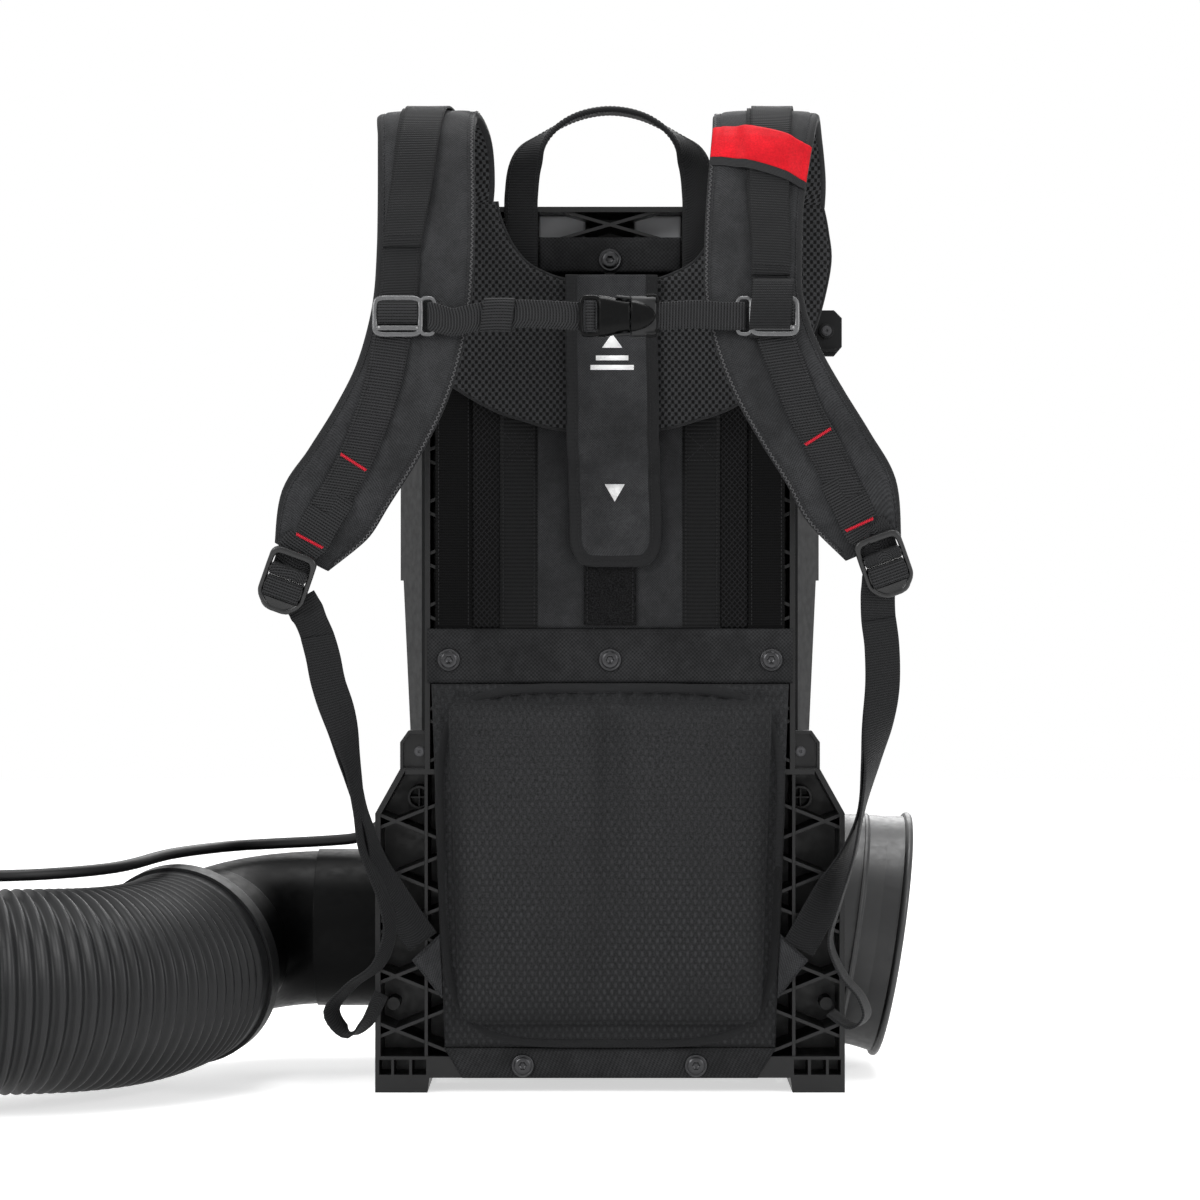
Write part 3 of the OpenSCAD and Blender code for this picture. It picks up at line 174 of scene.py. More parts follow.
def evenly(path: Array, gap: float) -> Array:
    """Resamples a path at even steps of about gap, its ends kept."""
    run = lengths(path)
    return sample(path, np.linspace(0, run[-1], max(int(round(run[-1] / gap)), 2) + 1), run)


def headings(path: Array) -> Array:
    """Unit direction at each point of a path, from its two neighbours."""
    ahead = np.vstack([path[1:], path[-1:]])
    behind = np.vstack([path[:1], path[:-1]])
    return unit(ahead - behind)


def axes(path: Array, side: Array) -> tuple[Array, Array]:
    """Inward and sideways axes of the rings along a path.

    Args:
        path: points of the run.
        side: one vector, or one a point, that the width follows.

    Returns:
        The inward normals and the sideways vectors, square to the run.
    """
    t = headings(path)
    n = unit(np.cross(np.broadcast_to(side, t.shape), t))
    return n, np.cross(t, n)


def carry(path: Array, section: Array, n: Array, w: Array) -> Array:
    """Lays (m, 2) or (k, m, 2) points at each point of a path, by n and w."""
    return path[:, None] + section[..., :1] * n[:, None] + section[..., 1:] * w[:, None]


def sweep(path: Array, section: Array, side: Array) -> Array:
    """Carries a section of [inward, sideways] points along a path.

    Args:
        path: (k, 3) points.
        section: (m, 2) points, or (k, m, 2) where the section changes.
        side: what the width follows.

    Returns:
        A (k, m, 3) grid of points.
    """
    return carry(path, section, *axes(path, side))


def band_section(width: float, thick: float, across: int = 9) -> Array:
    """A flat closed section with points across both faces and half-round edges."""
    x = np.linspace(-1, 1, across) * (width / 2 - thick * 0.4)
    edge = np.array([[0.30, 0.42], [0.0, 0.5], [-0.30, 0.42]])
    tip = np.c_[edge[:, 0] * thick, width / 2 + (edge[:, 1] - 0.5) * thick]
    return np.vstack(
        [np.c_[np.full(across, thick / 2), x], tip, np.c_[np.full(across, -thick / 2), -x], -tip])


def squared(a: Array, square: float) -> Array:
    """The cosine and the sine of angles, each raised to two over square."""
    return np.c_[powered(np.cos(a), 2 / square), powered(np.sin(a), 2 / square)]


def bar_section(wide: float | Array, deep: float | Array, square: float = 3.6, count: int = 16) -> Array:
    """A closed section between an ellipse and a rectangle, a superellipse.

    Args:
        wide: its size inwards, one number or one a ring.
        deep: its size sideways, one number or one a ring.
        square: 2 for an ellipse, more for squarer corners.
        count: points round it.

    Returns:
        (m, 2) points, or (k, m, 2) where a size is given for each ring.
    """
    form = squared(np.linspace(0, 2 * np.pi, count, endpoint=False), square) / 2
    size = stack(wide, deep)
    return form * size[..., None, :] if size.ndim > 1 else form * size


def round_loop(half_x: float, half_z: float, square: float = 6.0, count: int = 64) -> Array:
    """An even closed run round a rectangle with rounded corners, in the x and z plane."""
    turn = squared(np.linspace(0, 2 * np.pi, 721), square)
    path = stack(turn[:, 0] * half_x, 0.0, turn[:, 1] * half_z)
    run = lengths(path)
    return sample(path, np.linspace(0, run[-1], count + 1)[:-1], run)


def loop_grid(path: Array, section: Array) -> Array:
    """Carries a section of [outward, deep] points round a closed path in the x and z plane."""
    t = unit(np.roll(path, -1, 0) - np.roll(path, 1, 0))
    out = np.cross(t, FORWARD)
    return path[:, None] + section[..., :1] * out[:, None] - section[..., 1:] * FORWARD


def round_section(radius: float, count: int) -> Array:
    """A circle of [inward, sideways] points."""
    a = np.linspace(0, 2 * np.pi, count, endpoint=False)
    return np.c_[np.cos(a), np.sin(a)] * radius


def ripples(u: Array, v: Array, seed: int, finest: float = 12.0, waves: int = 9) -> Array:
    """Smooth wrinkles: a sum of sine waves of seeded heading, phase and length.

    Args:
        u: one coordinate in millimetres.
        v: the other.
        seed: fixes the waves.
        finest: shortest wavelength in millimetres.
        waves: how many waves are added.

    Returns:
        Heights of about one either way.
    """
    rng = np.random.default_rng(seed)
    heading = rng.uniform(0, np.pi, waves)
    length = finest * rng.uniform(1, 4.5, waves)
    phase = rng.uniform(0, 2 * np.pi, waves)
    u, v = np.broadcast_arrays(u, v)
    run = u[..., None] * np.cos(heading) + v[..., None] * np.sin(heading)
    return np.sin(2 * np.pi * run / length + phase).sum(-1) / np.sqrt(waves)


def arc_lengths(grid: Array) -> Array:
    """Distances run down and across a grid of points, from its first row and column."""
    down = np.linalg.norm(np.diff(grid, axis=0), axis=-1)
    across = np.linalg.norm(np.diff(grid, axis=1), axis=-1)
    return stack(
        np.cumsum(np.pad(down, ((1, 0), (0, 0))), 0), np.cumsum(np.pad(across, ((0, 0), (1, 0))), 1))


def grid_faces(rows: int, cols: int, closed: bool, loop: bool = False) -> Array:
    """Quads between the points of a grid, round its columns and its rows where those close."""
    i = np.arange(rows if loop else rows - 1)[:, None]
    j = np.arange(cols if closed else cols - 1)[None]
    k, m = (j + 1) % cols, (i + 1) % rows
    return stack(i * cols + j, i * cols + k, m * cols + k, m * cols + j).reshape(-1, 4)


def linked(name: str, data: object) -> bpy.types.Object:
    """Makes an object of this data and links it to the scene."""
    made = bpy.data.objects.new(name, data)
    bpy.context.scene.collection.objects.link(made)
    return made


@dataclass
class Shell:
    """Vertices and faces of one piece under way, in drawing-frame millimetres."""

    points: list = field(default_factory=list)
    faces: list = field(default_factory=list)
    uvs: list = field(default_factory=list)
    marks: list = field(default_factory=list)
    count: int = 0

    def add(self, points: Array, faces: Array, uv: Array, finish: int | Array = 0,
            caps: tuple = ()) -> None:
        """Adds vertices, their faces and a uv for each vertex.

        Args:
            points: (n, 3) points.
            faces: (f, 4) or (f, 3) indices.
            uv: (n, 2) lengths in millimetres.
            finish: one mark, or one for each face.
            caps: extra many-sided faces, which take the first mark.
        """
        points = np.reshape(points, (-1, 3))
        marks = np.broadcast_to(finish, (len(faces),))
        self.points.append(points)
        self.uvs.append(np.broadcast_to(np.reshape(uv, (-1, 2)), (len(points), 2)))
        self.faces.extend((faces + self.count).tolist())
        self.faces.extend((np.asarray(cap) + self.count).tolist() for cap in caps)
        self.marks.append(np.concatenate([marks, np.full(len(caps), marks[0])]))
        self.count += len(points)

    def add_tube(self, grid: Array, finish: int | Array = 0, loop: bool = False) -> None:
        """Adds a grid closed round its columns, its faces outwards.

        Args:
            grid: (k, m, 3) rings.
            finish: one mark, or one for each of the m strips.
            loop: whether the last ring meets the first, in place of two flat caps.
        """
        rows, cols = grid.shape[:2]
        ring = grid.mean(1)
        ahead = np.roll(ring, -1, 0) - np.roll(ring, 1, 0) if loop else headings(ring)
        spin = np.cross(grid - ring[:, None], np.roll(grid, -1, 1) - ring[:, None]).sum(1)
        faces = grid_faces(rows, cols, True, loop)
        first = np.arange(cols)
        caps = () if loop else (first[::-1], (rows - 1) * cols + first)
        if (spin * ahead).sum() < 0:
            faces, caps = faces[:, ::-1], tuple(cap[::-1] for cap in caps)
        marks = np.tile(np.broadcast_to(finish, (cols,)), len(faces) // cols)
        self.add(grid, faces, arc_lengths(grid), marks, caps)

    def add_slab(self, front: Array, back: Array, finish: int = 0, rear: int | None = None) -> None:
        """Adds a closed slab between two grids of the same size, stitched round the rim.

        Args:
            front: (k, m, 3) points of one face.
            back: the other face, point for point.
            finish: mark of the front and the rim.
            rear: mark of the back, the same as the front where not given.
        """
        rows, cols = front.shape[:2]
        size = rows * cols
        faces = grid_faces(rows, cols, False)
        rim = np.concatenate([
            np.arange(cols), np.arange(1, rows) * cols + cols - 1,
            (rows - 1) * cols + np.arange(cols - 2, -1, -1), np.arange(rows - 2, 0, -1) * cols])
        ahead = np.roll(rim, -1)
        stitch = stack(ahead, rim, rim + size, ahead + size)
        p = front.reshape(-1, 3)
        square = np.cross(p[faces[:, 1]] - p[faces[:, 0]], p[faces[:, 3]] - p[faces[:, 0]])
        rear_faces = faces[:, ::-1] + size
        if ((p - back.reshape(-1, 3))[faces[:, 0]] * square).sum() < 0:
            faces, stitch, rear_faces = faces[:, ::-1], stitch[:, ::-1], rear_faces[:, ::-1]
        uv = arc_lengths(front).reshape(-1, 2)
        rear = finish if rear is None else rear
        marks = np.repeat([finish, rear, finish], [len(faces), len(faces), len(stitch)])
        self.add(np.concatenate([p, back.reshape(-1, 3)]),
                 np.vstack([faces, rear_faces, stitch]), np.concatenate([uv, uv]), marks)

    def add_copies(
            self, form: Array, faces: Array, origins: Array, frames: Array, finish: int = 0) -> None:
        """Adds one small form many times.

        Args:
            form: (t, 3) points in the form's own axes.
            faces: its faces.
            origins: (n, 3) places.
            frames: (n, 3, 3) rows that the form's axes are laid on.
            finish: mark of them all.
        """
        points = origins[:, None] + np.einsum("ti,nij->ntj", form, frames)
        shift = (np.arange(len(origins)) * len(form))[:, None, None]
        self.add(points, (faces[None] + shift).reshape(-1, faces.shape[1]), np.zeros((1, 2)), finish)

    def make(self, name: str, materials: list) -> bpy.types.Object:
        """Makes the mesh object, in metres at the origin, with its map of lengths.

        Args:
            name: name of the piece.
            materials: its material slots.

        Returns:
            The linked object.
        """
        mesh = bpy.data.meshes.new(name)
        mesh.from_pydata(place(np.vstack(self.points)).tolist(), [], self.faces)
        layer = mesh.uv_layers.new(name="Weave")
        corners = np.empty(len(mesh.loops), np.int32)
        mesh.loops.foreach_get("vertex_index", corners)
        uv = np.vstack(self.uvs)[corners] * 0.001
        layer.data.foreach_set("uv", uv.astype(np.float32).ravel())
        mesh.polygons.foreach_set("material_index", np.concatenate(self.marks).astype(np.int32))
        mesh.polygons.foreach_set("use_smooth", np.ones(len(mesh.polygons), bool))
        for material in materials:
            mesh.materials.append(material)
        mesh.update()
        return linked(name, mesh)


def stitch_form(length: float, width: float) -> tuple[Array, Array]:
    """One sewn stitch: a six-sided body, swollen at the middle and pinched at both ends."""
    along = np.array([-0.5, -0.3, 0.0, 0.3, 0.5]) * length
    swell = np.array([0.3, 0.85, 1.0, 0.85, 0.3])
    ring = round_section(width / 2, 6)
    body = swell[:, None, None] * ring[None]
    points = np.concatenate([np.broadcast_to(along[:, None, None], (5, 6, 1)), body], -1)
    sides = grid_faces(5, 6, True)
    caps = np.array([[3, 2, 1, 0], [5, 4, 3, 0], [24, 25, 26, 27], [24, 27, 28, 29]])
    return points.reshape(-1, 3), np.vstack([sides, caps])


@dataclass(frozen=True)
class Stitch:
    """A kind of seam: its pitch, and the length, thickness and turn of one stitch."""

    pitch: float
    length: float
    width: float
    turn: float = 0.0


EDGE_SEAM = Stitch(3.2, 2.5, 0.7)
HANDLE_SEAM = Stitch(3.2, 2.5, 0.65)
PANEL_SEAM = Stitch(3.0, 2.3, 0.6)
BAND_SEAM = Stitch(2.6, 2.0, 0.6)
WEB_SEAM = Stitch(2.6, 2.0, 0.5)
FINE_SEAM = Stitch(2.4, 1.9, 0.6)
ZIGZAG = Stitch(1.7, 2.6, 0.8, 0.9)
BARTACK = Stitch(0.62, 2.6, 0.75, 1.25)


def sew(shell: Shell, path: Array, outward: Array, seam: Stitch, finish: int = 0) -> None:
    """Adds a line of stitches along a path that lies on a surface.

    Args:
        shell: the piece that takes them.
        path: points on the surface.
        outward: the surface's outward direction, one or one a point.
        seam: their kind; every second one turns the other way.
        finish: their mark.
    """
    run = lengths(path)
    count = max(int(run[-1] / seam.pitch), 1)
    at = (np.arange(count) + 0.5) * run[-1] / count
    row = np.interp(at, run, np.arange(len(path)))
    t = unit(sample(headings(path), row))
    n = sample(np.broadcast_to(outward, path.shape), row)
    n = unit(n - (n * t).sum(1, keepdims=True) * t)
    w = np.cross(n, t)
    swing = seam.turn * np.where(np.arange(count) % 2, 1, -1)[:, None]
    run_dir, side_dir = t * np.cos(swing) + w * np.sin(swing), w * np.cos(swing) - t * np.sin(swing)
    form, faces = stitch_form(seam.length, seam.width)
    shell.add_copies(form, faces, sample(path, row), np.stack([run_dir, side_dir, n], 1), finish)


def line(a: tuple | Array, b: tuple | Array, count: int = 12) -> Array:
    """Straight path of even points between two places."""
    share = np.linspace(0, 1, count)[:, None]
    return np.asarray(a, float) * (1 - share) + np.asarray(b, float) * share


# ---- finishes
class Sketch:
    """The shader nodes of one material, added and linked by short calls."""

    def __init__(self, name: str, tone: Tone) -> None:
        """Starts an empty material of this name and this tone."""
        self.tone = tone
        self.material = bpy.data.materials.new(name)
        self.material.use_nodes = True
        self.tree = self.material.node_tree
        self.tree.nodes.clear()
        out = self.node("ShaderNodeOutputMaterial")
        self.shader = self.node("ShaderNodeBsdfPrincipled")
        self.link(self.shader.outputs[0], out.inputs["Surface"])
        self.coord = self.node("ShaderNodeTexCoord")

    def node(self, kind: str, **settings: object) -> bpy.types.Node:
        """Adds a node and sets its properties."""
        made = self.tree.nodes.new(kind)
        for key, value in settings.items():
            setattr(made, key, value)
        return made

    def link(self, a: Socket, b: Socket) -> None:
        """Joins an output to an input."""
        self.tree.links.new(a, b)

    def feed(self, value: object, socket: Socket) -> None:
        """Links a socket, or sets a plain number."""
        if isinstance(value, Socket):
            self.link(value, socket)
        else:
            socket.default_value = value

    def maths(self, operation: str, a: object, b: object = 0.0, c: object = 0.0) -> Socket:
        """One sum of up to three values."""
        made = self.node("ShaderNodeMath", operation=operation)
        for value, socket in zip((a, b, c), made.inputs):
            self.feed(value, socket)
        return made.outputs[0]

    def times(self, a: object, b: object) -> Socket:
        """One value times another."""
        return self.maths("MULTIPLY", a, b)

    def split(self, kind: str) -> tuple:
        """The three coordinates of a point on the piece's map or in the object's space."""
        made = self.node("ShaderNodeSeparateXYZ")
        self.link(self.coord.outputs[kind], made.inputs[0])
        return tuple(made.outputs)

    def wave(self, value: object, period: float) -> Socket:
        """A sine of a coordinate in metres, from -1 to 1, that repeats at the period in mm."""
        return self.maths("SINE", self.times(value, 2000 * np.pi / period))

    def crossing(self, u: object, v: object, period: float) -> tuple:
        """Two waves that cross: of the sum and of the difference of two coordinates."""
        return tuple(self.wave(self.maths(way, u, v), period) for way in ("ADD", "SUBTRACT"))

    def noise(self, scale_mm: float, detail: float = 2.0) -> Socket:
        """Noise whose grain is about this many millimetres."""
        made = self.node("ShaderNodeTexNoise")
        self.link(self.coord.outputs["Object"], made.inputs["Vector"])
        made.inputs["Scale"].default_value = 1000 / scale_mm
        made.inputs["Detail"].default_value = detail
        return made.outputs[0]

    def between(self, value: object, low: object, high: object, start: float = 0.0,
                end: float = 1.0) -> Socket:
        """Maps a value from start..end to low..high, held at both ends."""
        made = self.node("ShaderNodeMapRange")
        for item, socket in zip((value, start, end, low, high), made.inputs):
            self.feed(item, socket)
        return made.outputs[0]

    def tint(self, value: Socket, dark: float, light: float) -> Socket:
        """The tone from dark times to light times itself, by a value from 0 to 1."""
        made = self.node("ShaderNodeMix", data_type="RGBA")
        self.link(value, made.inputs[0])
        for socket, factor in ((made.inputs[6], dark), (made.inputs[7], light)):
            socket.default_value = (*(part * factor for part in self.tone), 1)
        return made.outputs[2]

    def bump(self, height: Socket, depth_mm: float, strength: float = 1.0,
             base: Socket | None = None) -> Socket:
        """A bumped normal whose full height is depth_mm."""
        made = self.node("ShaderNodeBump")
        made.inputs["Strength"].default_value = strength
        made.inputs["Distance"].default_value = depth_mm * 0.001
        self.link(height, made.inputs["Height"])
        if base is not None:
            self.link(base, made.inputs["Normal"])
        return made.outputs[0]

    def rounded(self, radius_mm: float) -> Socket:
        """A normal that rounds hard edges by this radius."""
        made = self.node("ShaderNodeBevel", samples=4)
        made.inputs["Radius"].default_value = radius_mm * 0.001
        return made.outputs[0]

    def finish(self, colour: Socket, roughness: object, normal: Socket, gloss: float = 0.5,
               **plain: float) -> Material:
        """Feeds the shader and returns the material.

        Args:
            colour: the base colour.
            roughness: a number or a socket.
            normal: the bumped normal.
            gloss: level of the highlights.
            plain: other inputs by name, set as plain values.

        Returns:
            The finished material.
        """
        self.link(colour, self.shader.inputs["Base Color"])
        self.feed(roughness, self.shader.inputs["Roughness"])
        self.link(normal, self.shader.inputs["Normal"])
        self.shader.inputs["Specular IOR Level"].default_value = gloss
        for key, value in plain.items():
            self.shader.inputs[key.replace("_", " ")].default_value = value
        return self.material


@dataclass(frozen=True)
class Finish:
    """A named finish of one tone."""

    name: str
    tone: Tone


@dataclass(frozen=True)
class Moulded(Finish):
    """Injection-moulded plastic: fine spark texture, rounded edges, faint scuffs."""

    roughness: float = 0.42
    grain: float = 0.5
    depth: float = 0.03
    edge: float = 0.7
    gloss: float = 0.3

    def build(self) -> Material:
        """Makes the material."""
        s = Sketch(self.name, self.tone)
        cloud = s.noise(38, 3)
        grain = s.noise(self.grain, 2)
        scuff = s.noise(6, 6)
        colour = s.tint(cloud, 0.85, 1.2)
        rough = s.maths("ADD", s.between(scuff, self.roughness - 0.05, self.roughness + 0.09, 0.35, 0.7),
                        s.between(grain, -0.03, 0.03))
        normal = s.bump(grain, self.depth, 0.6, s.rounded(self.edge))
        return s.finish(colour, rough, normal, self.gloss)


@dataclass(frozen=True)
class Metal(Finish):
    """Bare or plated metal with fine turning marks."""

    roughness: float = 0.3

    def build(self) -> Material:
        """Makes the material."""
        s = Sketch(self.name, self.tone)
        grain = s.noise(0.8, 4)
        colour = s.tint(grain, 0.8, 1.1)
        rough = s.between(s.noise(4, 4), self.roughness - 0.08, self.roughness + 0.1)
        return s.finish(colour, rough, s.bump(grain, 0.02, 0.5, s.rounded(0.3)), Metallic=1.0)


@dataclass(frozen=True)
class Rubber(Finish):
    """Soft rubber or elastomer with a low sheen and fine dust."""

    roughness: float = 0.5
    gloss: float = 0.25

    def build(self) -> Material:
        """Makes the material."""
        s = Sketch(self.name, self.tone)
        grain = s.noise(0.7, 3)
        colour = s.tint(s.noise(25, 4), 0.8, 1.35)
        rough = s.between(s.noise(9, 4), self.roughness - 0.07, self.roughness + 0.1)
        return s.finish(colour, rough, s.bump(grain, 0.03, 0.5), self.gloss)


@dataclass(frozen=True)
class Webbing(Finish):
    """Woven nylon webbing: ribs across its length, warp yarns along it."""

    rib: float = 1.5
    yarn: float = 1.0
    depth: float = 0.3
    roughness: float = 0.6
    gloss: float = 0.12
    sheen: float = 0.03
    contrast: float = 0.6

    def build(self) -> Material:
        """Makes the material on the piece's own map, whose u runs along the webbing."""
        s = Sketch(self.name, self.tone)
        u, v, _ = s.split("UV")
        wobble = s.times(s.noise(3, 2), 0.00015)
        rib = s.wave(s.maths("ADD", u, wobble), self.rib)
        warp = s.wave(v, self.yarn)
        weave = s.maths("MULTIPLY_ADD", s.times(rib, warp), 0.35, s.times(rib, 0.55))
        lit = s.between(weave, 0, 1, -0.75, 0.75)
        fuzz = s.maths("MULTIPLY_ADD", s.noise(0.7, 3), 0.5, s.times(lit, 0.75))
        colour = s.tint(s.between(fuzz, 0, 1, 0.2, 0.85), 1 - self.contrast, 1 + 1.6 * self.contrast)
        return s.finish(
            colour, s.between(lit, self.roughness + 0.15, self.roughness - 0.08),
            s.bump(lit, self.depth), self.gloss, Sheen_Weight=self.sheen, Sheen_Roughness=0.4)


@dataclass(frozen=True)
class Cloth(Finish):
    """Plain woven pack cloth: crossing yarns with a soft slub, fold sheen, and painted sheen in broad
    lighter and darker patches.
    """

    yarn: float = 0.9
    depth: float = 0.16
    roughness: float = 0.66
    sheen: float = 0.04
    gloss: float = 0.1
    contrast: float = 0.5

    def build(self) -> Material:
        """Makes the material on the piece's own map."""
        s = Sketch(self.name, self.tone)
        u, v, _ = s.split("UV")
        cross = s.times(s.wave(u, self.yarn), s.wave(v, self.yarn))
        slub = s.noise(1.4, 3)
        # painted sheen: broad noise patches lighten and darken the colour as light on folds would
        painted_sheen = s.times(s.between(s.noise(45, 3), 0.75, 1.3, 0.35, 0.65),
                       s.between(s.noise(9, 3), 0.85, 1.15, 0.35, 0.65))
        height = s.between(s.maths("ADD", cross, s.between(slub, -0.9, 0.9)), 0, 1, -1.5, 1.5)
        colour = s.tint(s.times(height, painted_sheen), 1 - self.contrast, 1 + 1.5 * self.contrast)
        return s.finish(colour, self.roughness, s.bump(height, self.depth),
                        self.gloss, Sheen_Weight=self.sheen, Sheen_Roughness=0.35)


@dataclass(frozen=True)
class SpacerMesh(Finish):
    """Thick air mesh: a lattice of round holes in offset rows, their depth painted near black as shade.
    """

    pitch: float = 5.0
    rows: float = 5.9
    depth: float = 0.9
    on_map: bool = False

    def build(self) -> Material:
        """Makes the material; a hole is where the sum of two crossing waves is high."""
        s = Sketch(self.name, self.tone)
        if self.on_map:
            v, u, _ = s.split("UV")
        else:
            u, _, v = s.split("Object")
        across = s.times(u, self.rows / self.pitch)
        hole = s.between(s.maths("ADD", *s.crossing(across, v, self.rows)), 0, 1, -0.25, 0.75)
        strand = s.noise(0.6, 3)
        rim = s.maths("SUBTRACT", 1.0, hole)
        height = s.maths("MULTIPLY_ADD", strand, 0.15, rim)
        # painted shade: the holes are near black and the rims lighter, standing in for shade in the holes
        light = s.times(rim, s.between(strand, 0.35, 1.0, 0.3, 0.7))
        colour = s.tint(light, 0.08, 3.9)
        return s.finish(
            colour, 0.7, s.bump(height, self.depth), gloss=0.12, Sheen_Weight=0.04, Sheen_Roughness=0.4)


@dataclass(frozen=True)
class KnitMesh(Finish):
    """Warp-knit pad cloth: upright lens-shaped dimples in offset columns."""

    pitch: float = 5.6
    rows: float = 9.6
    depth: float = 0.5

    def build(self) -> Material:
        """Makes the material on the object's x and z."""
        s = Sketch(self.name, self.tone)
        x, _, z = s.split("Object")
        up = s.times(z, self.pitch / self.rows)
        lens = s.between(s.maths("ADD", *s.crossing(x, up, self.pitch)), 0, 1, 0.1, 1.7)
        clear = s.between(s.noise(60, 2), 0.6, 1.0, 0.4, 0.6)
        low = s.between(z, 0.75, 0.25, 0.08, 0.24)
        mark = s.times(s.times(lens, clear), low)
        strand = s.noise(1.1, 4)
        height = s.maths("MULTIPLY_ADD", s.between(strand, 0, 1, 0.3, 0.7), 0.55, mark)
        # painted light: the colour is lighter towards the top of the pad
        lit = s.between(z, 0.55, 1.0, 0.05, 0.25)
        colour = s.tint(s.times(s.between(height, 0, 1, 0.0, 1.1), lit), 0.45, 3.0)
        return s.finish(colour, 0.68, s.bump(height, self.depth), gloss=0.12,
                        Sheen_Weight=0.04, Sheen_Roughness=0.35)


@dataclass(frozen=True)
class OpenNet(Finish):
    """Coarse diamond net: crossing cords over black."""

    pitch: float = 4.1
    rows: float = 4.5
    depth: float = 0.6

    def build(self) -> Material:
        """Makes the material on the object's x and z."""
        s = Sketch(self.name, self.tone)
        x, _, z = s.split("Object")
        across = s.maths("MULTIPLY_ADD", x, self.rows / self.pitch, s.times(s.noise(4, 2), 0.001))
        cords = s.between(s.maths("MAXIMUM", *s.crossing(across, z, self.rows)), 0, 1, 0.1, 0.95)
        colour = s.tint(s.times(cords, s.noise(1.2, 3)), 0.15, 7.5)
        return s.finish(colour, 0.65, s.bump(cords, self.depth), gloss=0.08)


@dataclass(frozen=True)
class Pile(Finish):
    """Hook or loop fastener: dense short pile."""

    def build(self) -> Material:
        """Makes the material."""
        s = Sketch(self.name, self.tone)
        tuft = s.noise(0.9, 5)
        colour = s.tint(s.between(tuft, 0, 1, 0.35, 0.7), 0.3, 2.2)
        return s.finish(colour, 0.9, s.bump(tuft, 0.8), gloss=0.03)


@dataclass(frozen=True)
class Thread(Finish):
    """Sewing thread: a twist along each stitch."""

    gloss: float = 0.2

    def build(self) -> Material:
        """Makes the material."""
        s = Sketch(self.name, self.tone)
        twist = s.noise(0.6, 2)
        colour = s.tint(twist, 0.7, 1.3)
        return s.finish(colour, 0.5, s.bump(twist, 0.1), self.gloss)


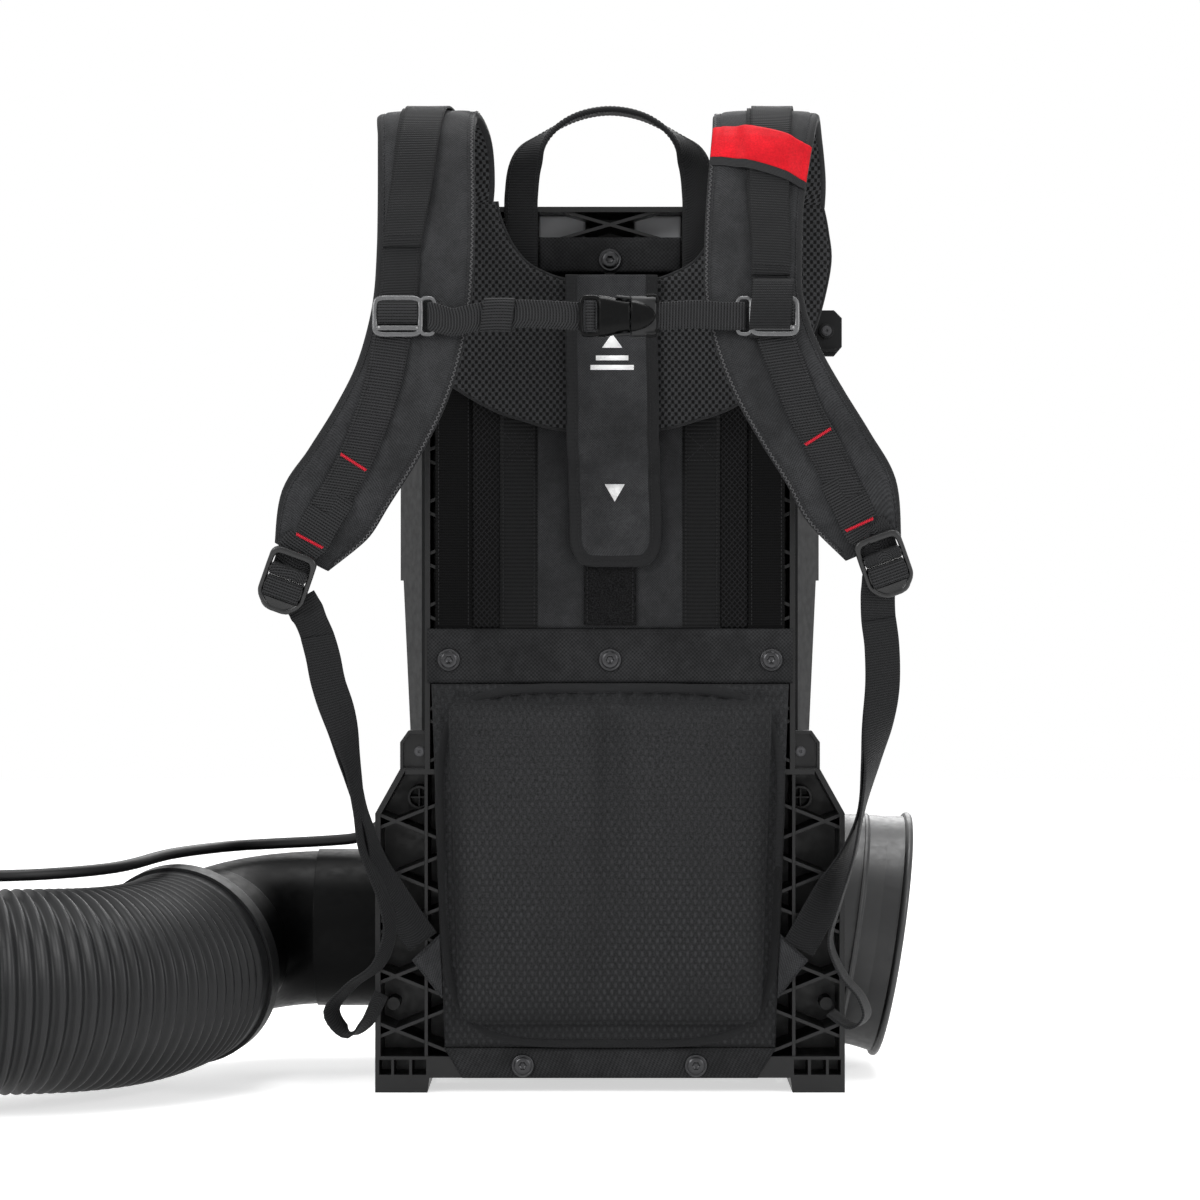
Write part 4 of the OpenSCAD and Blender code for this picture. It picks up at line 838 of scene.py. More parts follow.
FINISHES = {finish.name: finish for finish in (
    Moulded("frame_plastic", (0.0044, 0.0045, 0.0048), 0.36, gloss=0.32),
    # painted light: the inserts are made far lighter than their own grey so that they read bright in the
    # shade of the top bar
    Moulded("frame_insert_painted_light", (0.5, 0.505, 0.52), 0.45),
    Moulded("housing_plastic", (0.0068, 0.007, 0.0074), 0.46, 0.8, 0.05, 0.7, 0.2),
    Moulded("pack_plastic", (0.014, 0.0142, 0.015), 0.5, 0.8, 0.06),
    Moulded("duct_plastic", (0.004, 0.0041, 0.0043), 0.4, gloss=0.15),
    Moulded("bell_plastic", (0.016, 0.0163, 0.0169), 0.4, 0.4, 0.012, 0.7, 0.5),
    Moulded("fan_plastic", (0.03, 0.031, 0.033), 0.4),
    Moulded("tube_plastic", (0.0017, 0.0018, 0.0019), 0.36, 0.4, 0.012, 0.7, 0.07),
    Moulded("collar_plastic", (0.008, 0.0082, 0.0087), 0.45),
    Moulded("handle_plastic", (0.011, 0.0112, 0.0118), 0.5, 0.8, 0.06),
    Moulded("control_plastic", (0.007, 0.007, 0.0075), 0.42),
    Moulded("buckle_plastic", (0.0026, 0.0027, 0.0028), 0.26, 0.5, 0.012, 0.8, 0.1),
    Moulded("lock_plastic", (0.008, 0.0082, 0.0086), 0.32, 0.5, 0.012, 0.8, 0.4),
    Moulded("slider_plastic", (0.078, 0.079, 0.082), 0.26, 0.5, 0.01, 0.8, 0.8),
    Moulded("red_plastic", (0.5, 0.014, 0.022), 0.36, 0.5, 0.02, 0.7, 0.4),
    Moulded("circuit_board", (0.015, 0.1, 0.045), 0.4),
    Metal("terminal", (0.7, 0.55, 0.28), 0.3),
    Metal("steel", (0.6, 0.6, 0.61), 0.28),
    Metal("copper", (0.6, 0.3, 0.14), 0.35),
    Metal("motor_aluminium", (0.55, 0.56, 0.57), 0.4),
    Metal("small_screw", (0.07, 0.07, 0.073), 0.38),
    Metal("dark_screw", (0.05, 0.05, 0.052), 0.32),
    Rubber("hose_rubber", (0.013, 0.0133, 0.014), 0.42),
    Rubber("tip_rubber", (0.03, 0.031, 0.033), 0.6),
    Rubber("cable_rubber", (0.006, 0.006, 0.0064), 0.42),
    Rubber("gland_rubber", (0.007, 0.007, 0.0074), 0.55),
    Webbing("webbing", (0.0088, 0.009, 0.0095), 2.0, 1.5, contrast=0.45),
    Webbing("panel_webbing", (0.0034, 0.0035, 0.0037), 2.9, 1.8, contrast=0.7),
    Webbing("outer_webbing", (0.0018, 0.0018, 0.0019), 2.0, 1.6, gloss=0.06, contrast=0.6),
    Webbing("ribbed_webbing", (0.0122, 0.0124, 0.013), 2.15, 1.9, 0.7, contrast=1.0),
    Cloth("band_fabric", (0.0132, 0.0134, 0.0141), 2.9, 0.3, contrast=0.85),
    Cloth("flap_fabric", (0.028, 0.0285, 0.03), 1.9, 0.22, contrast=0.75),
    Cloth("panel_cloth", (0.0195, 0.0199, 0.021), 1.9, 0.22, contrast=0.75),
    Cloth("pad_fabric", (0.0195, 0.0199, 0.021), 1.9, 0.22, 0.62, contrast=0.8),
    Webbing("binding", (0.013, 0.0132, 0.0139), 1.0, 0.8, 0.2),
    SpacerMesh("air_mesh", (0.0132, 0.0134, 0.0141)),
    SpacerMesh("pad_mesh", (0.0155, 0.0158, 0.0166), on_map=True),
    KnitMesh("knit_pad", (0.0172, 0.0175, 0.0184)),
    OpenNet("open_mesh", (0.0029, 0.0029, 0.0031)),
    Pile("hook_fabric", (0.0105, 0.0106, 0.011)),
    Thread("black_thread", (0.012, 0.012, 0.013)),
    Thread("grey_thread", (0.09, 0.09, 0.093)),
    Thread("red_thread", (0.55, 0.012, 0.03)),
    Cloth("red_patch", (0.49, 0.006, 0.013), 0.9, 0.06, 0.5, 0.02),
    Cloth("white_print", (0.85, 0.85, 0.85), 0.9, 0.05, 0.6, 0.0),
)}
NODES_OF_FINISH = {
    "frame_plastic": ("back_frame",),
    "housing_plastic": ("rear_housing", "rear_cover"),
    "circuit_board": ("control_board",),
    "terminal": ("terminal_blocks",),
    "pack_plastic": ("battery_left", "battery_right"),
    "red_plastic": ("battery_release_left", "battery_release_right", "power_button"),
    "duct_plastic": ("fan_duct", "outlet_cone", "inlet_grille"),
    "bell_plastic": ("inlet_bell",),
    "fan_plastic": ("fan_impeller", "stator_vanes"),
    "steel": ("motor_shaft", "motor_rotor", "motor_bearings", "trigger_pin"),
    "copper": ("motor_windings",),
    "motor_aluminium": ("motor_can",),
    "tube_plastic": ("outlet_elbow", "control_tube", "nozzle_tube"),
    "collar_plastic": ("hose_collar", "hose_cuff"),
    "handle_plastic": ("handle_clamp", "handle_shell_front", "handle_shell_back"),
    "control_plastic": ("throttle_trigger", "cruise_lever"),
    "tip_rubber": ("nozzle_tip",),
    "gland_rubber": ("cable_gland",),
    "small_screw": ("frame_screws",),
}


@cache
def coat(name: str) -> Material:
    """The material of this finish, built when it is first asked for."""
    return FINISHES[name].build()


def tie(shell: Shell, name: str, finishes: tuple, slot: str, body: Body | None,
        *nodes: str) -> bpy.types.Object:
    """Makes a piece, ties it to its body and hides the nodes that it stands for.

    Args:
        shell: its geometry.
        name: its name.
        finishes: names of its finishes, in the order of its marks.
        slot: not used.
        body: the body that it rides on, or None.
        nodes: the nodes that it stands for.

    Returns:
        The piece.
    """
    piece = shell.make(name, [coat(finish) for finish in finishes])
    if body is not None:
        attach(piece, body.value)
    if nodes:
        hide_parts(*nodes)
    log.info("%s: %d faces", name, len(piece.data.polygons))
    return piece


# ---- studio
@dataclass(frozen=True)
class Lamp:
    """A square softbox: its place and aim in metres, its size and its power."""

    name: str
    place: Point
    aim: Point
    size: float
    watts: float

    def build(self) -> None:
        """Hangs the lamp."""
        light = bpy.data.lights.new(self.name, "AREA")
        light.shape, light.size, light.energy = "SQUARE", self.size, self.watts
        lamp = linked(self.name, light)
        lamp.location = self.place
        aim = np.subtract(self.aim, self.place)
        lamp.rotation_euler = (float(np.arctan2(np.hypot(aim[0], aim[1]), -aim[2])), 0.0,
                               float(np.arctan2(-aim[0], aim[1])))


@dataclass(frozen=True)
class Studio:
    """Camera, lamps, pale floor and pale world."""

    camera_at: Point = (-0.00745, -2.725, 0.367)
    view_width: float = 0.894
    focus: float = 2.6
    sensor: float = 36.0
    floor_size: float = 9.0
    floor_tone: float = 0.82
    floor_glow: float = 0.6
    world_light: float = 0.38
    lamps: tuple[Lamp, ...] = (
        Lamp("softbox_left", (-2.4, -2.2, 2.1), (0, 0, 0.4), 1.5, 74),
        Lamp("softbox_right", (2.6, -1.9, 1.5), (0, 0, 0.4), 1.4, 42),
        Lamp("softbox_top", (0.2, 0.1, 2.9), (0, 0, 0.4), 1.6, 56),
        Lamp("softbox_rear", (0.4, 2.6, 1.7), (0, 0, 0.5), 1.6, 34),
    )

    def build(self) -> None:
        """Sets the camera, hangs the lamps and lays the floor."""
        scene = bpy.context.scene
        lens = bpy.data.cameras.new("front_view")
        lens.sensor_width = self.sensor
        lens.lens = self.sensor * self.focus / self.view_width
        lens.clip_end = 60.0
        camera = linked("front_view", lens)
        camera.location = self.camera_at
        camera.rotation_euler = (np.pi / 2, 0.0, 0.0)
        scene.camera = camera
        scene.view_settings.view_transform = "Standard"
        for lamp in self.lamps:
            lamp.build()
        self.lay_floor()
        self.tint_world()

    def seen(self, tree: bpy.types.NodeTree) -> Socket:
        """One where a ray comes from the camera, a mirror or glass, else nought."""
        path = tree.nodes.new("ShaderNodeLightPath")
        value = path.outputs["Is Camera Ray"]
        for kind in ("Is Glossy Ray", "Is Transmission Ray"):
            either = tree.nodes.new("ShaderNodeMath")
            either.operation = "MAXIMUM"
            tree.links.new(value, either.inputs[0])
            tree.links.new(path.outputs[kind], either.inputs[1])
            value = either.outputs[0]
        return value

    def lay_floor(self) -> None:
        """A pale floor that shows white and keeps the object's shadow."""
        half = self.floor_size / 2
        mesh = bpy.data.meshes.new("floor")
        mesh.from_pydata([(-half, -half, 0), (half, -half, 0), (half, half, 0), (-half, half, 0)],
                         [], [(0, 1, 2, 3)])
        material = bpy.data.materials.new("floor_white")
        material.use_nodes = True
        tree = material.node_tree
        shader = tree.nodes["Principled BSDF"]
        for key, value in (("Base Color", (*[self.floor_tone] * 3, 1)), ("Roughness", 0.9),
                           ("Specular IOR Level", 0.0), ("Emission Color", (1, 1, 1, 1))):
            shader.inputs[key].default_value = value
        glow = tree.nodes.new("ShaderNodeMath")
        glow.operation = "MULTIPLY"
        glow.inputs[1].default_value = self.floor_glow
        tree.links.new(self.seen(tree), glow.inputs[0])
        tree.links.new(glow.outputs[0], shader.inputs["Emission Strength"])
        mesh.materials.append(material)
        linked("floor", mesh)

    def tint_world(self) -> None:
        """A pale grey world for light that shows as white."""
        world = bpy.data.worlds.new("pale_room")
        world.use_nodes = True
        tree = world.node_tree
        sky = tree.nodes["Background"]
        sky.inputs[0].default_value = (1, 1, 1, 1)
        strength = tree.nodes.new("ShaderNodeMapRange")
        strength.inputs[3].default_value = self.world_light
        strength.inputs[4].default_value = 1.0
        tree.links.new(self.seen(tree), strength.inputs[0])
        tree.links.new(strength.outputs[0], sky.inputs[1])
        bpy.context.scene.world = world


# ---- air path
@dataclass
class Wand:
    """The axis of the tube beyond the hose and the points measured on it."""

    root: Point = (-505.0, -100.0, 84.0)
    drop: float = 3.5

    @property
    def heading(self) -> Array:
        """Unit vector along the tube, away from the hose."""
        a = np.radians(self.drop)
        return np.array([-np.cos(a), 0.0, -np.sin(a)])

    def point(self, up: float, across: float, along: float) -> Array:
        """A point given by its height over the axis, its side and its place along."""
        a = np.radians(self.drop)
        return np.array(self.root) + np.array(
            [-up * np.sin(a) - along * np.cos(a), across, up * np.cos(a) - along * np.sin(a)])


@dataclass
class ControlCable:
    """The cable from its gland on the housing to the handle, with its sheath."""

    wand: Wand
    diameter: float = 8.5
    up: float = 66.0
    rows: tuple = (
        (-177.3, 140, 190), (-181, 140, 190), (-196, 140, 181), (-222, 140, 178),
        (-262, 138, 176), (-298, 118, 175), (-334, 52, 174), (-366, -16, 169),
        (-420, -74, 168), (-498, -98, 168), (-532, -100, 163), (-566, -100, 150))

    def route(self) -> Array:
        """The points that the cable follows, the last three on the handle."""
        ends = [self.wand.point(self.up, 0, 100 - back) for back in (16, 8, 0.2)]
        return smooth(list(self.rows) + [tuple(p) for p in ends], 3)

    def build(self) -> None:
        path = smooth(self.route().tolist(), 2)
        shell = Shell()
        shell.add_tube(sweep(path, round_section(self.diameter / 2, 20), UPWARD))
        piece = tie(
            shell, "control_cable_sheath", ("cable_rubber",), "cable_rubber", None, "control_cable")
        tuple(place(self.rows[4]))
        tuple(place(self.rows[9]))
        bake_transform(piece)
        tuple(place(path[0]))
        float(lengths(path)[-1] * 0.001)
        place(path).tolist()


@dataclass
class BellowsHose:
    """The corrugated hose from the elbow's spigot to the cuff."""

    wand: Wand
    radius: float = 74.0
    wall: float = 3.0
    pitch: float = 8.5
    depth: float = 4.6
    handle: float = 90.0
    gap: float = 0.3
    elbow_x: float = -219.0
    bend_radius: float = 95.0
    turn: float = 70.0
    roll: float = 10.4
    spigot: float = 50.0
    axis: Pair = (155.0, 109.0)

    def centre(self) -> Array:
        """Bezier curve from the spigot to the cuff, at even steps of an eighth of the pitch."""
        a, r = np.radians(self.turn), np.radians(self.roll)
        out = np.array([-np.cos(a), -np.sin(a) * np.cos(r), -np.sin(a) * np.sin(r)])
        inset = self.bend_radius * (1 - np.cos(a))
        end = np.array([self.elbow_x - self.bend_radius * np.sin(a),
                        self.axis[0] - inset * np.cos(r), self.axis[1] - inset * np.sin(r)])
        start = end + self.spigot * out + self.gap * out
        stop = np.array(self.wand.root) - self.gap * self.wand.heading
        p = np.array([start, start + self.handle * out, stop - self.handle * self.wand.heading, stop])
        t = np.linspace(0, 1, 400)[:, None]
        u = 1 - t
        return evenly(
            u**3 * p[0] + 3 * u**2 * t * p[1] + 3 * u * t**2 * p[2] + t**3 * p[3], self.pitch / 8)

    def build(self) -> None:
        """Carries a circle whose radius rises and falls along the centre line.

        The radius is the outer one less half the depth of a fold times one minus a flattened
        cosine of the distance run, so that the ridges are round and the valleys narrow.
        """
        path = self.centre()
        run = lengths(path)
        wave = np.cos(2 * np.pi * run / self.pitch)
        fold = self.depth * (1 - powered(wave, 0.7)) / 2
        cuff = clamp((np.minimum(run, run[-1] - run) - 6.0) / 4.0)
        outer = self.radius - fold * cuff
        ring = round_section(1.0, 72)
        skin, lining = (
            sweep(path, ring * radius[:, None, None], UPWARD) for radius in (outer, outer - self.wall))
        shell = Shell()
        rows, cols = skin.shape[:2]
        size = rows * cols
        faces = grid_faces(rows, cols, True)
        i = np.arange(cols)
        k, last = (i + 1) % cols, (rows - 1) * cols
        lips = [stack(k, i, i + size, k + size), stack(i, k, k + size, i + size) + last]
        uv = arc_lengths(skin).reshape(-1, 2)
        shell.add(np.concatenate([skin.reshape(-1, 3), lining.reshape(-1, 3)]),
                  np.vstack([faces, faces[:, ::-1] + size] + lips), np.concatenate([uv, uv]))
        piece = tie(shell, "bellows_folds", ("hose_rubber",), "hose_rubber", None, "bellows_hose")
        tuple(place(path[6]))
        tuple(place(path[-7]))
        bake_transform(piece)


# ---- harness
@dataclass(frozen=True)
class Lock:
    """Place of a ladder lock and its own axes: across, deep and up."""

    middle: Point
    roll: float
    tilt: float = 10.0
    thick: float = 6.0
    fit: float = 0.3
    webbing: float = 1.8

    def to_drawing(self, points: Array) -> Array:
        """Turns points by the tilt about X, then by the roll about Y, and moves them there."""
        a, b = np.radians(self.tilt), np.radians(self.roll)
        p = np.asarray(points, float)
        y = p[..., 1] * np.cos(a) - p[..., 2] * np.sin(a)
        up = p[..., 1] * np.sin(a) + p[..., 2] * np.cos(a)
        x = p[..., 0] * np.cos(b) + up * np.sin(b)
        z = -p[..., 0] * np.sin(b) + up * np.cos(b)
        return stack(x, y, z) + np.array(self.middle)

    @property
    def across(self) -> Array:
        """Unit vector across the lock."""
        b = np.radians(self.roll)
        return np.array([np.cos(b), 0.0, -np.sin(b)])

    def behind(self, x: float, z: float) -> tuple:
        """A row of webbing that lies against the lock's back: x, y, z, turn and roll."""
        a, b = np.radians(self.tilt), np.radians(self.roll)
        deep = self.thick / 2 + 2 * self.fit + self.webbing / 2
        slope = np.sin(a) * (np.sin(b) * (x - self.middle[0]) + np.cos(b) * (z - self.middle[2]))
        return (x, self.middle[1] + (deep - slope) / np.cos(a), z, 0, self.roll)

    def loop(self, low: float, high: float) -> Array:
        """A closed run of webbing round a bar, from behind it, under it and over it."""
        deep = self.thick / 2 + self.fit + self.webbing / 2
        bottom, top = low - self.fit - self.webbing / 2, high + self.fit + self.webbing / 2
        c = min(1.6, deep)
        a = np.linspace(0, np.pi / 2, 5)
        corner = np.c_[np.sin(a), 1 - np.cos(a)] * c
        run = np.vstack([[[deep, (low + high) / 2]],
            np.c_[deep - corner[:, 1], bottom + c - corner[:, 0]],
            np.c_[-deep + c - corner[:, 0], bottom + corner[:, 1]],
            np.c_[-deep + corner[:, 1], top - c + corner[:, 0]],
            np.c_[deep - c + corner[:, 0], top - corner[:, 1]], [[deep, (low + high) / 2 + 0.4]]])
        return self.to_drawing(np.c_[np.zeros(len(run)), run])


LOCKS = {Side.LEFT: Lock((-231.5, -112.3, 380), 20), Side.RIGHT: Lock((195.7, -114.8, 391.6), -20)}


@dataclass
class ShoulderPad:
    """A crowned pad with bound edges, its webbing, bartacks and thread."""

    side: Side
    rows: tuple
    width: float = 70.0
    thick: float = 13.0
    edge: float = 2.6
    bound: float = 0.9
    web_width: Pair = (32.0, 23.0)
    web_thick: float = 1.8
    web_first: int = 3
    loop_width: float = 26.8
    bar: Pair = (5.0, 9.0)
    tack_rows: Pair = (10.68, 12.52)
    hem_row: float = 6.0
    slider_row: float = 7.2
    seam_share: float = 0.865
    rim_share: float = 0.945
    hem_half: float = 13.5
    tack_half: float = 10.6
    steps: int = 8

    def __post_init__(self) -> None:
        """Works out the run, its axes and its widths."""
        run = smooth(self.rows, self.steps)
        self.path, self.shift, self.widths = run[:, :3], run[:, 3], run[:, 4] * self.width
        self.n, self.w = axes(self.path, ACROSS)
        self.run = lengths(self.path)

    def half(self, share: Array, row: Array) -> Array:
        """Half thickness at a share of the half width: full in the middle, thin at the edge.

        The crown is one minus the fourth power of the share, rooted; a groove is pressed in
        along the seam, and both ends of the pad taper in a quarter circle.
        """
        s = clamp(np.abs(share))
        crown = np.sqrt(clamp(1 - s**4))
        at = sample(self.run, row)
        near = clamp(np.minimum(at, self.run[-1] - at) / 16.0)
        end = np.sqrt(np.clip(1 - (1 - near) ** 2, 0.02, 1))
        groove = 0.8 * np.exp(-(((s - 0.86) / 0.035) ** 2))
        full = self.edge / 2 + (self.thick - self.edge) / 2 * crown
        return full * (0.35 + 0.65 * end) - groove * near

    def at(self, row: Array, v: Array, lift: Array) -> Array:
        """Points on the outer face at fractional rows, v sideways and lift above it."""
        row, v, lift = np.broadcast_arrays(row, v, lift)
        up = self.half(v / (sample(self.widths, row) / 2), row) + lift
        return (sample(self.path, row) - up[..., None] * sample(self.n, row)
                + v[..., None] * sample(self.w, row))

    def web_half(self, row: Array) -> Array:
        """Half width of the webbing, which narrows down the pad."""
        return np.interp(row, [0, len(self.path) - 1], self.web_width) / 2

    def outward(self, row: Array) -> Array:
        """Outward direction at fractional rows."""
        return -sample(self.n, row)

    def build_pad(self) -> None:
        """Rings of the outer face and the inner face, closed at the bound edges."""
        s = eased(35)
        row = np.arange(len(self.path), dtype=float)[:, None]
        v = s[None] * self.widths[:, None] / 2
        seed = 11 if self.side is Side.LEFT else 12
        crease = 0.35 * ripples(self.run[:, None], v, seed, 14) * (1 - s[None] ** 2)
        outer = self.at(row, v, crease)
        inner = carry(self.path, stack(self.half(s[None], row), v), self.n, self.w)
        grid = np.concatenate([outer, inner[:, ::-1]], 1)
        mid = np.abs((s[1:] + s[:-1]) / 2) > self.bound
        marks = np.concatenate([np.where(mid, 2, 0), [2], np.where(mid[::-1], 2, 1), [2]])
        shell = Shell()
        shell.add_tube(grid, marks)
        name = f"shoulder_pad_{self.side.word}"
        piece = tie(shell, f"{name}_cushion", ("pad_fabric", "pad_mesh", "binding"),
                    "pad_fabric", Body.HARNESS, name)

    def lock_rows(self) -> Array:
        """The loop webbing's path: off the pad's face, down behind the lock and round its bar."""
        lock = LOCKS[self.side]
        last = len(self.path) - 1.0
        start = self.at(np.array([last - 1.6 * self.steps, last - 0.9 * self.steps, last - 4.0]),
                        np.full(3, self.rows[-1][3] * 0.8), 1.2)
        deep = lock.thick / 2 + lock.fit + lock.webbing / 2
        down = lock.to_drawing(np.array([[0, deep, 26.0], [0, deep, 19.0], [0, deep, 12.0]]))
        return np.vstack([start, down, lock.loop(*self.bar)[:-1]])

    def build_webbing(self) -> None:
        """Webbing laid on the crowned face, doubled down to its hem, and the lock's loop."""
        shell = Shell()
        last = len(self.path) - 1.0
        end = last - 1.1 * self.steps
        side = np.linspace(-1, 1, 13)[None]

        def layer(first: float, stop: float, low: float, high: float, lean: float, mark: int = 0) -> None:
            """One strip of webbing between two rows and two heights over the pad."""
            row = np.linspace(first, stop, int((stop - first) * 2))[:, None]
            v = side * self.web_half(row)
            shift = sample(self.shift, row)
            wave = 0.25 * ripples(row * 5, v, 31, 20)
            base = self.at(row, shift + v + lean * (stop - row), low + wave)
            shell.add_slab(self.at(row, shift + v + lean * (stop - row), high + wave), base, mark)
        middle = self.slider_row * self.steps
        layer(float(self.web_first), middle, 0.15, 0.15 + self.web_thick, 0.0)
        layer(middle, end, 0.15, 0.15 + self.web_thick, 0.0, 1)
        layer(self.web_first + 1.0, self.hem_row * self.steps, 2.1, 3.7, 0.12)
        path = smooth(self.lock_rows().tolist(), 3)
        shell.add_tube(
            sweep(path, band_section(self.loop_width, self.web_thick), LOCKS[self.side].across), 1)
        name = f"shoulder_webbing_{self.side.word}"
        tie(shell, f"{name}_weave", ("webbing", "ribbed_webbing"), "webbing", Body.HARNESS, name)

    def build_thread(self) -> None:
        """Stitch lines along the bound edges and the webbing, and two red bartacks."""
        shell = Shell()
        last = len(self.path) - 1.0
        row = np.linspace(2, last - 2, 260)
        half_width = sample(self.widths, row) / 2
        shift = sample(self.shift, row)
        out = self.outward(row)
        for sign in (-1, 1):
            sew(shell, self.at(row, sign * self.seam_share * half_width, 0.25), out, EDGE_SEAM)
            keep = (row > self.web_first + 2) & (row < last - 1.3 * self.steps)
            sew(shell, self.at(row, shift + sign * (self.web_half(row) - 2.2), 2.1)[keep], out[keep],
                WEB_SEAM)
        inner = 1 if self.side is Side.LEFT else -1
        sew(shell, self.at(row, inner * self.rim_share * half_width, 0.3), out, ZIGZAG, 2)
        hem = self.hem_row * self.steps
        for back in (1.0, 1.8):
            row = np.full(14, hem - back)
            v = sample(self.shift, hem) + np.linspace(-self.hem_half, self.hem_half, 14)
            sew(shell, self.at(row, v, 3.85), self.outward(row), FINE_SEAM)
        for tack in self.tack_rows:
            row = np.full(20, tack * self.steps)
            v = sample(self.shift, row) + np.linspace(-self.tack_half, self.tack_half, 20)
            sew(shell, self.at(row, v, 2.9), self.outward(row), BARTACK, 1)
        tie(shell, f"shoulder_thread_{self.side.word}", ("black_thread", "red_thread", "grey_thread"),
            "webbing", Body.HARNESS)

    def build(self) -> None:
        """Makes the pad, its webbing and its thread."""
        self.build_pad()
        self.build_webbing()
        self.build_thread()


LEFT_PAD_ROWS = (
    (-122, -15, 656, 0, 1.0), (-122, -16, 676, 0, 1.05), (-124, -24, 702, 0, 1.05),
    (-133, -48, 718, -2, 1.05), (-133, -78, 700, -6, 1), (-132, -95, 654, -12, 1),
    (-132, -106, 616, -17, 1), (-134, -113, 580, -17, 1), (-140, -117, 548, -16, 1),
    (-150, -119, 517, -12, 1), (-166, -118, 486, -7, 1), (-186, -113, 455, -2, 1),
    (-204, -108, 428, -1, 1), (-221, -102, 398, 0, 0.62))
RIGHT_PAD_ROWS = (
    (124, -15, 656, 0, 1.0), (123, -16, 676, 0, 1.05), (119, -24, 702, 0, 1.08),
    (114, -48, 718, 1, 1.1), (110, -78, 700, 3, 1.05), (104, -95, 654, 8, 1),
    (102, -106, 616, 12, 1), (102, -113, 584, 12, 1), (108, -118, 556, 8, 1),
    (119, -120, 528, 7, 1), (136, -119, 498, 3, 1), (155, -115, 468, 1, 1),
    (172, -110, 438, -2, 1), (188, -104, 404, -2, 0.62))


@dataclass
class RedPatch:
    """A bare red band sewn across the top of the right pad, with a dark border."""

    pad: ShoulderPad
    rows: Pair = (3.92, 4.46)
    dip: float = 1.7
    step: float = 3.4
    thick: float = 0.8

    def build(self) -> None:
        """Lays the band over the pad and its webbing, its lower edge curved down at the right."""
        pad = self.pad
        across = np.linspace(-0.99, 0.99, 41)[None]
        down = np.linspace(0, 1, 24)[:, None]

        def cloth(first: float, last: float, low: float, high: float, mark: int, shell: Shell) -> None:
            """A strip between two rows that follows the pad and the webbing's step."""
            bend = self.dip * (across * 0.5 + 0.5) ** 2
            row = first * pad.steps + bend + (last - first) * pad.steps * down
            half_width = sample(pad.widths, row) / 2
            v = across * half_width
            shift = sample(pad.shift, row)
            step = self.step / (1 + np.exp((np.abs(v - shift) - pad.web_half(row) - 4.5) / 1.6))
            shell.add_slab(pad.at(row, v, step + high), pad.at(row, v, step + low), mark)
        shell = Shell()
        cloth(*self.rows, 0.5, 0.5 + self.thick, 0, shell)
        cloth(self.rows[1] - 0.02, self.rows[1] + 0.12, 0.4, 0.4 + self.thick, 1, shell)
        tie(shell, "shoulder_patch_bare", ("red_patch", "binding"), "red_plastic", Body.HARNESS)


@dataclass
class LowerWebbing:
    """Adjusting webbing from a lock to the frame, with its free tail."""

    side: Side
    rows: tuple
    tail_rows: tuple
    width: float = 25.0
    thick: float = 1.8
    tail_first: int = 3
    tail_last: int = 7
    low_bar: Pair = (-11.0, -0.2)
    loop_width: float = 26.8

    def strip(self, rows: list) -> Array:
        """A swept band whose width turns edge-on by each row's share and rolls with it."""
        run = smooth(rows, 6)
        turn, roll = run[:, 3], np.radians(run[:, 4])
        side = stack((1 - turn) * np.cos(roll), turn, -(1 - turn) * np.sin(roll))
        return sweep(run[:, :3], band_section(self.width, self.thick), side)

    def on_face(self, row: tuple) -> Array:
        """The same row on the webbing's outer face, where the tail lies."""
        turn = row[3]
        out = np.array([turn, turn - 1, 0.0]) / np.hypot(turn, 1 - turn)
        return np.array(row, float) + [*out * (self.thick + 0.5), 0, 0]

    def build(self) -> None:
        """Makes the two strips and the loop, which run from the harness to the frame."""
        lock = LOCKS[self.side]
        starts = {Side.LEFT: ((-222.5, 368), (-218.5, 361), (-215, 354)),
                  Side.RIGHT: ((192, 384), (191.5, 376), (191, 368))}[self.side]
        rows = [lock.behind(*place_at) for place_at in starts] + list(self.rows)
        first = np.array(rows[self.tail_first], float) - [0, self.thick / 2, 0, 0, 0]
        lay = [self.on_face(row) for row in rows[self.tail_first + 1:self.tail_last + 1]]
        shell = Shell()
        shell.add_tube(self.strip(rows))
        shell.add_tube(self.strip([first] + lay + list(self.tail_rows)))
        shell.add_tube(
            sweep(lock.loop(*self.low_bar), band_section(self.loop_width, self.thick), lock.across), 1)
        name = f"lower_webbing_{self.side.word}"
        piece = tie(shell, f"{name}_weave", ("webbing", "ribbed_webbing"), "webbing", None, name)
        tuple(place(rows[2][:3]))
        tuple(place(rows[-1][:3]))
        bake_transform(piece)


LEFT_LOWER = LowerWebbing(Side.LEFT,
    ((-210, -98, 341, 0, 12), (-206.5, -90.5, 326, 0, 3), (-203, -83.5, 306, 0.05, 0),
     (-195, -74, 277, 0.45, 0), (-190, -62, 249, 0.68, 0), (-184, -51, 223, 0.78, 0),
     (-177, -42, 200, 0.86, 0), (-168, -30, 165, 0.6, -12), (-154, -15, 136, 0.2, -30),
     (-139, -6, 113, 0, -38)),
    ((-183, -59.5, 215, 0.8, 0), (-180, -54, 186, 0.85, 0), (-167, -42, 150, 0.8, 0),
     (-162, -36, 124, 0.75, 0), (-170, -38, 100, 0.7, 0), (-190, -42, 84, 0.7, 0),
     (-204, -44, 66, 0.7, 0), (-192, -44, 50, 0.7, 0), (-178, -40, 58, 0.7, 0),
     (-168, -36, 78, 0.7, 0)))
